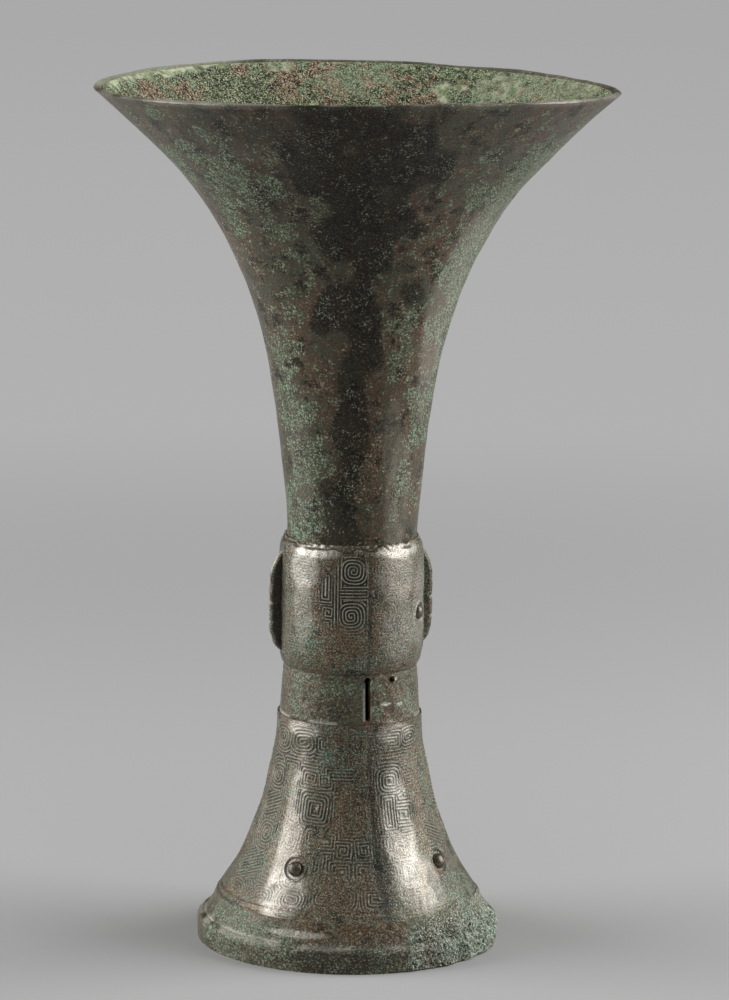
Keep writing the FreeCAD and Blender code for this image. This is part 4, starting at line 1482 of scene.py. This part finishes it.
    def build(self) -> None:
        """Makes the four sections and the four eyes, with border lines sunk over the foot of the wall."""
        low, top = self.levels.bell, self.levels.collar
        outer, seat_foot = self.outer_rows(), top - self.seat_lap
        rows = Rows.joined(
            outer,
            Rows.straight(
                3.0, (self.seat_radius, top), (self.seat_radius, seat_foot), (self.bore, seat_foot),
            ),
            outer.picked(slice(0, -self.left_at_top, self.inner_step)).behind(self.wall),
        )
        quarters = ("front_right", 0.0), ("back_right", 90.0), ("back_left", 180.0), ("front_left", -90.0)
        for name, start in quarters:
            angles = start + np.linspace(0, 90, self.columns)
            angle, height = outer.grid(angles)
            plain = outer.turned(angles)
            carve, thread, crisp = self.ornament.lay(outer, angles, low + 3.4, top - 1.2)
            bare = self.eye.bare(outer, angles)
            groove = seam_groove(outer, angles, low + self.seam_margin, top - self.seam_margin)
            for margin in self.borders:
                line = hump((outer.height - low - margin)[:, None], self.border_width)
                groove = groove - self.border_depth * line * spotted(plain, 0.7, (0.3, 9, 78))
            wander = swells(plain, (0.06, 13, 75), (0.02, 3.3, 76), (0.008, 1.3, 77))
            lift = carve * bare + wander + self.eye.carve(outer, angles) + groove
            seam = hump(wrapped(angle - 5.0 + 0.08 * height, HALF_TURN), 2.2) * ease((68 - height) / 8) * 0.65
            self.section(
                f"bell_{name}_section", "bell", rows, angles, lift, thread=thread * (1 - seam),
                carved=np.maximum(self.crisp_share * crisp * bare, seam), **self.looks(angle, height),
            )
        self.eye.build(outer, self.finish)


@dataclass
class Base:
    """The plain foot rim with its rounded shoulder, and the cavetto over it."""

    levels: Levels
    finish: bpy.types.Material
    radius: float = 46.4
    rim_height: float = 7.6
    shelf: float = 2.1
    edge: float = 2.0
    wall: float = 3.4
    inner_height: float = 3.6
    bell_foot: float = 40.8
    bell_inner_foot: float = 38.3
    sag: float = 0.22
    columns: int = 620
    blooms: Spots = (
        (-30, 4, 60, 5, 0.5), (-74, 9, 18, 7, 1.0), (-48, 9, 10, 4, 0.8), (40, 10, 26, 7, 1.0),
        (160, 6, 60, 6, 0.6),
    )
    stains: Spots = ((-10, 12, 22, 4.5, 1.2), (-82, 8, 8, 3, 0.8), (12, 5, 18, 4, 0.8))
    # Painted shade on the front of the rim, where the side lamps leave it dark.
    shades: Spots = ((-20, 4, 16, 5, 0.6), (-2, 7, 12, 5, 0.5))
    # A painted highlight streak along the shoulder.
    streaks: Spots = ((-36, 10.6, 13, 1.0, 0.6),)

    def outer_rows(self) -> Rows:
        """The outer rows: the upright side, a quarter round, the shelf, and a sagging line up to the bell."""
        bend_count, side_count, line_count = 9, 12, 24
        bend = np.linspace(0, math.pi / 2, bend_count)
        centre = np.array([self.radius - self.edge, self.rim_height - self.edge])
        shoulder = centre + self.edge * np.stack([np.cos(bend), np.sin(bend)], axis=1)
        climb = np.linspace(0, centre[1], side_count, endpoint=False)
        side = np.stack([np.full(side_count, self.radius), climb], axis=1)
        t = np.linspace(0, 1, line_count)[:, None]
        shelf_end = np.array([self.radius - self.shelf, self.rim_height])
        chord = np.array([self.bell_foot, self.levels.bell]) - shelf_end
        square = np.array([-chord[1], chord[0]])
        square = square / np.linalg.norm(square) * self.sag
        return Rows.along(np.vstack([side, shoulder, shelf_end + chord * t + np.sin(math.pi * t) * square]))

    def build(self) -> None:
        """Makes the base as one closed ring."""
        outer, bore = self.outer_rows(), self.radius - self.wall
        rows = Rows.joined(outer, Rows.straight(
            2.5, (self.bell_inner_foot, self.levels.bell), (bore, self.inner_height), (bore, 0.0),
            (self.radius - 0.6, 0.0),
        ))
        angles = all_round(self.columns)
        angle, height = rows.grid(angles)
        plain = rows.turned(angles)
        lift = swells(plain, (0.09, 15, 81), (0.05, 4, 82), (0.02, 1.6, 83))
        fade = ease((rows.height - 0.1) / 1.2) * (np.arange(len(rows.radius)) < len(outer.radius))
        # Worn along the shelf's edge, and a painted highlight line along the shoulder.
        ledge = hump(height - self.rim_height, 0.7) * spotted(plain, 0.5, (0.5, 10, 84))
        shade = painted(self.shades, angle, height)
        make_piece(
            "base_ring", closed_wall(rows, angles, lift * fade[:, None]), self.finish, Slot.DARK, "base",
            polish=np.maximum(ledge * 0.7, painted(self.streaks, angle, height)) * (1 - shade), shade=shade,
            bloom=painted(self.blooms, angle + 5 * ripples(plain, 12, 86), height),
            stain=painted(self.stains, angle + 5 * ripples(plain, 12, 85), height),
        )


@dataclass
class FootCrust:
    """The patch of granular crust that has grown over the right of the foot."""

    bell: Bell
    base: Base
    finish: bpy.types.Material
    angle: float = 42.5
    height: float = 6.5
    slant: float = 0.98
    wide: float = 26.5
    tall: float = 12.5
    thickness: float = 1.5
    depth: float = 0.6
    grit: float = 0.24
    square: float = 2.6
    row_count: int = 130
    columns: int = 330

    def edge(self, around: Array) -> Array:
        """The share of the patch's reach at an angle round it: a few waves on a circle."""
        waves = (0.03, 2, 0.6), (0.04, 3, -1.1), (0.04, 7, 0.0), (0.03, 13, 2.0)
        return sum((amount * np.cos(count * around + phase) for amount, count, phase in waves), 1)

    def build(self) -> None:
        """Makes the patch: a grid over the outer wall from which the cells past its edge are left out.

        The thickness is greatest in the middle and falls as the square root of what is left to the
        edge, with grains added.
        """
        low, high = self.base.outer_rows(), self.bell.outer_rows()
        places = np.vstack([
            np.stack([low.radius, low.height], 1)[:-1],
            np.stack([high.radius, high.height], 1)[high.height < self.height + self.tall + 4],
        ])
        run = run_of(places)
        start = float(np.interp(0.5, places[:, 1], run)) / run[-1]
        rows = Rows.along(places, np.linspace(start, 1, self.row_count))
        half = math.degrees(self.wide * 1.3 / self.base.radius)
        angles = self.angle + np.linspace(-half, half, self.columns)
        angle, height = rows.grid(angles)
        slanted = angle - self.angle - self.slant * (height - self.height)
        across = np.radians(slanted) * self.base.radius / self.wide
        up = (rows.run - np.interp(self.height, rows.height, rows.run))[:, None] / self.tall
        far = (np.abs(across) ** self.square + np.abs(up) ** self.square) ** (1 / self.square)
        far = far / self.edge(np.arctan2(up, across))
        inside = far[:-1, :-1] + far[1:, :-1] + far[:-1, 1:] + far[1:, 1:] < 4.0
        plain = rows.turned(angles)
        lumps = swells(plain, (0.55, 1.5, 91), (0.5, 1.0, 92))
        body = np.sqrt(np.clip(1.0 - far, 0, 1))
        swell = np.clip(swells(plain, (0.35, 9, 93), base=0.75), 0.25, 1.5)
        smooth = ease((height - 8.5) / 5.5)
        grit = self.grit * (1 - 0.75 * smooth)
        lift = self.thickness * body * swell + grit * lumps * np.minimum(1, body * 2.5)
        outer = rows.turned(angles, np.maximum(lift, -0.15))
        outer[..., 2] = np.maximum(outer[..., 2], 0.15)
        surface, used = pierced_wall(outer, rows.turned(angles, -self.depth), inside, whole=False)
        looks = {"pit": ease(0.42 - 0.55 * lumps) * (1 - 0.7 * smooth),
                 "pale": 0.45 * ease(0.6 * lumps - 0.1) * (1 - smooth), "earth": 0.3 + 0.4 * smooth}
        looks = {name: np.tile(values.ravel(), 2)[used] for name, values in looks.items()}
        make_piece("foot_crust_patch", surface, self.finish, Slot.CRUST, "foot_crust", sharp=80.0, **looks)


@dataclass
class CupFloor:
    """The floor of the cup and its spacers, which keep the shapes of their solids."""

    plate: bpy.types.Material
    spacer: bpy.types.Material

    def dress(self) -> None:
        """Gives the solids their finishes."""
        dress(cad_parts["cup_floor"], self.plate, Slot.DARK)
        for name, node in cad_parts.items():
            if name.startswith("floor_spacer"):
                dress(node, self.spacer, Slot.SPACER)


@dataclass
class Studio:
    """The plain grey sweep, the soft lamps and the camera.

    Where the floor's lit part ends, the camera's sight, the lamps' places and what they aim at are in
    metres, and the rest of the lengths in millimetres.
    """

    grey: float = 0.445
    # The far floor glows darker than the near one: a painted falloff of the lamps' light.
    far_falloff_grey: float = 0.400
    paper: float = 0.415
    ambient: float = 0.08
    floor_size: float = 30000.0
    floor_lines: int = 41
    near: float = 0.3
    lit_to: float = 1.0
    faded_at: float = 4.2
    aim: float = 0.13
    focal: float = 161.2
    sensor: float = 36.0
    sight: tuple[float, float] = (0.05, 90.0)
    distance: float = 1349.8
    eye_height: float = 382.6
    azimuth: float = -15.0
    pitch: float = 10.303
    pan: float = -0.16
    roll: float = 0.75

    def floor(self) -> None:
        """Makes the floor: a square that is lit near the vessel and glows grey farther off, darker with
        distance as a painted falloff of light.
        """
        count = self.floor_lines
        line = np.linspace(-self.floor_size, self.floor_size, count)
        x, y = np.meshgrid(line, line, indexing="ij")
        mesh = bpy.data.meshes.new("studio_floor")
        points = np.stack([x, y, np.zeros_like(x)], axis=-1).reshape(-1, 3) * MM
        mesh.from_pydata(points.tolist(), [], grid_faces(count, count).tolist())
        floor = linked("studio_floor", mesh)
        s = Shader("studio_grey")
        length = s.flow(s.node("VectorMath", {"operation": "LENGTH"}, {0: s.place()}), "Value")
        tone = s.blend(length.step(self.near, self.faded_at), (self.grey,) * 3, (self.far_falloff_grey,) * 3)
        lit = s.node("BsdfDiffuse", {}, {"Color": (self.paper,) * 3})
        plain = s.node("Emission", {}, {"Color": tone, "Strength": 1.0})
        path = s.node("LightPath", {}, {})
        seen = s.flow(path, "Is Camera Ray") + s.flow(path, "Is Glossy Ray")
        seen = seen + s.flow(path, "Is Transmission Ray")
        share = length.step(self.near, self.lit_to) * seen.held()
        mixed = s.node("MixShader", {}, {0: share, 1: s.flow(lit), 2: s.flow(plain)})
        s.tree.links.new(mixed.outputs[0], s.output.inputs["Surface"])
        mesh.materials.append(s.material)
        floor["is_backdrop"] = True

    def world(self) -> None:
        """Fills the room with an even dim light."""
        world = bpy.data.worlds.new("studio_room")
        bpy.context.scene.world = world
        world.use_nodes = True
        light = world.node_tree.nodes["Background"]
        light.inputs["Color"].default_value = (1, 1, 1, 1)
        light.inputs["Strength"].default_value = self.ambient

    def lamp(
        self, name: str, azimuth: float, far: float, height: float, size: tuple[float, float], power: float,
    ) -> None:
        """Hangs a softbox that faces the vessel.

        Args:
            name: the lamp's name.
            azimuth: where it stands, in degrees from the front seam towards +X.
            far: its distance from the axis, in metres.
            height: its height, in metres.
            size: its width and height, in metres.
            power: its power, in watts.
        """
        data = bpy.data.lights.new(name, "AREA")
        data.shape = "RECTANGLE"
        data.size, data.size_y = size
        data.energy = power
        lamp = linked(name, data)
        turn = math.radians(azimuth)
        place = Vector((far * math.sin(turn), -far * math.cos(turn), height))
        facing = (Vector((0, 0, self.aim)) - place).to_track_quat("-Z", "Y").to_matrix().to_4x4()
        lamp.matrix_world = Matrix.Translation(place) @ facing

    def camera(self) -> None:
        """Stands the camera where the photograph was taken from."""
        data = bpy.data.cameras.new("studio_camera")
        data.sensor_width = self.sensor
        data.lens = self.focal
        data.clip_start, data.clip_end = self.sight
        camera = linked("studio_camera", data)
        turn, down, roll = (math.radians(angle) for angle in (self.azimuth, self.pitch, self.roll))
        far = self.distance
        place = Vector((math.sin(turn) * far, -math.cos(turn) * far, self.eye_height)) * MM
        ahead = Vector((-math.sin(turn) * math.cos(down), math.cos(turn) * math.cos(down), -math.sin(down)))
        ahead.rotate(Matrix.Rotation(math.radians(self.pan), 3, "Z"))
        right = ahead.cross(Vector((0, 0, 1))).normalized()
        up = right.cross(ahead)
        level_right = right * math.cos(roll) + up * math.sin(roll)
        level_up = up * math.cos(roll) - right * math.sin(roll)
        turned = Matrix((level_right, level_up, -ahead)).transposed().to_4x4()
        camera.matrix_world = Matrix.Translation(place) @ turned
        bpy.context.scene.camera = camera

    def build(self) -> None:
        """Sets up the whole studio."""
        self.floor()
        self.world()
        self.lamp("left_softbox", -106.0, 1.05, 0.46, (1.0, 1.05), 16.5)
        self.lamp("right_softbox", 79.0, 1.05, 0.60, (1.1, 1.1), 20.0)
        self.lamp("top_softbox", -15.0, 0.25, 1.6, (1.4, 1.4), 4.2)
        self.camera()
        bpy.context.scene.view_settings.view_transform = "Standard"


def main() -> None:
    """Builds the vessel register by register, then the studio round it."""
    logging.basicConfig(level=logging.INFO, format="%(name)s: %(message)s")
    levels = Levels.read()
    dark = Bronze(
        "dark_bronze_patina", ground=(0.068, 0.066, 0.045), cloud=(0.100, 0.060, 0.040),
        bloom=(0.095, 0.120, 0.070), fresh=(0.130, 0.200, 0.128), rubbed_and_highlight=(0.46, 0.43, 0.36),
        stain=(0.125, 0.062, 0.036), blotch_and_shade=(0.009, 0.008, 0.006), metal=0.05, dull=0.34, blooming=0.49,
        seed=2.0, salt=0.75, pepper=0.7, gather=0.85, flecks=0.35, streaks=0.3, blotches=0.85, shine=0.18,
        coarse=1400.0, fine=2400.0,
    ).material()
    rim = Bronze(
        "rim_bronze_patina", ground=(0.088, 0.086, 0.058), cloud=(0.112, 0.070, 0.044),
        bloom=(0.105, 0.130, 0.078), fresh=(0.135, 0.19, 0.12), rubbed_and_highlight=(0.52, 0.49, 0.43),
        stain=(0.135, 0.078, 0.036), metal=0.18, dull=0.42, blooming=0.50, seed=27.0, salt=0.6, gather=0.4,
        streaks=0.4, blotches=0.55, shine=0.35, coarse=1400.0, fine=2400.0,
    ).material()
    worn = Bronze(
        "worn_bronze_patina", ground=(0.115, 0.112, 0.078), cloud=(0.135, 0.088, 0.054),
        bloom=(0.095, 0.128, 0.076), fresh=(0.12, 0.20, 0.14), rubbed_and_highlight=(0.57, 0.53, 0.48),
        stain=(0.165, 0.088, 0.036), metal=0.42, dull=0.43, blooming=0.52, seed=9.0, salt=0.8, pepper=0.95,
        gather=0.3, flecks=0.6, blotches=0.95, coarse=1900.0, fine=3300.0,
    ).material()
    eye = Bronze(
        "eye_bronze_patina", ground=(0.060, 0.052, 0.040), cloud=(0.060, 0.042, 0.032),
        bloom=(0.060, 0.080, 0.055), fresh=(0.11, 0.16, 0.12), rubbed_and_highlight=(0.4, 0.36, 0.3), metal=0.5, dull=0.24,
        blooming=0.62, seed=15.0, salt=0.2, pepper=0.5, blotches=0.2, bite=0.0002,
    ).material()
    spacer = Bronze(
        "spacer_bronze_patina", ground=(0.16, 0.11, 0.06), cloud=(0.14, 0.085, 0.05),
        bloom=(0.10, 0.12, 0.08), fresh=(0.14, 0.2, 0.15), rubbed_and_highlight=(0.5, 0.4, 0.28), metal=0.7, dull=0.45,
        blooming=0.58, seed=21.0,
    ).material()
    lining = Mineral(
        "mouth_crust", green=(0.200, 0.255, 0.115), teal=(0.150, 0.300, 0.170), earth=(0.270, 0.160, 0.088),
        pale=(0.62, 0.64, 0.47), dark=(0.012, 0.012, 0.008), seed=4.0,
    ).material()
    crust = Mineral(
        "foot_crust_grains", green=(0.235, 0.300, 0.215), teal=(0.215, 0.335, 0.250),
        earth=(0.160, 0.155, 0.105), pale=(0.64, 0.68, 0.58), dark=(0.020, 0.021, 0.017), seed=6.0, gaps=0.6,
        coarse=1900.0, fine=3100.0,
    ).material()

    trumpet, knop = Trumpet(levels, dark), Knop(levels, worn)
    bell, base = Bell(levels, worn), Base(levels, rim)
    trumpet.build()
    MouthLining(trumpet, lining).build()
    knop.build()
    Flanges(knop, worn).build()
    Collar(levels, rim).build()
    bell.build()
    base.build()
    FootCrust(bell, base, crust).build()
    CupFloor(dark, spacer).dress()
    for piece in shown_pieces():
        if "_eye_" in piece.name and WORN_EYE not in piece.name:
            piece.data.materials[0] = eye
    Studio().build()


if __name__ == "__main__":
    main()
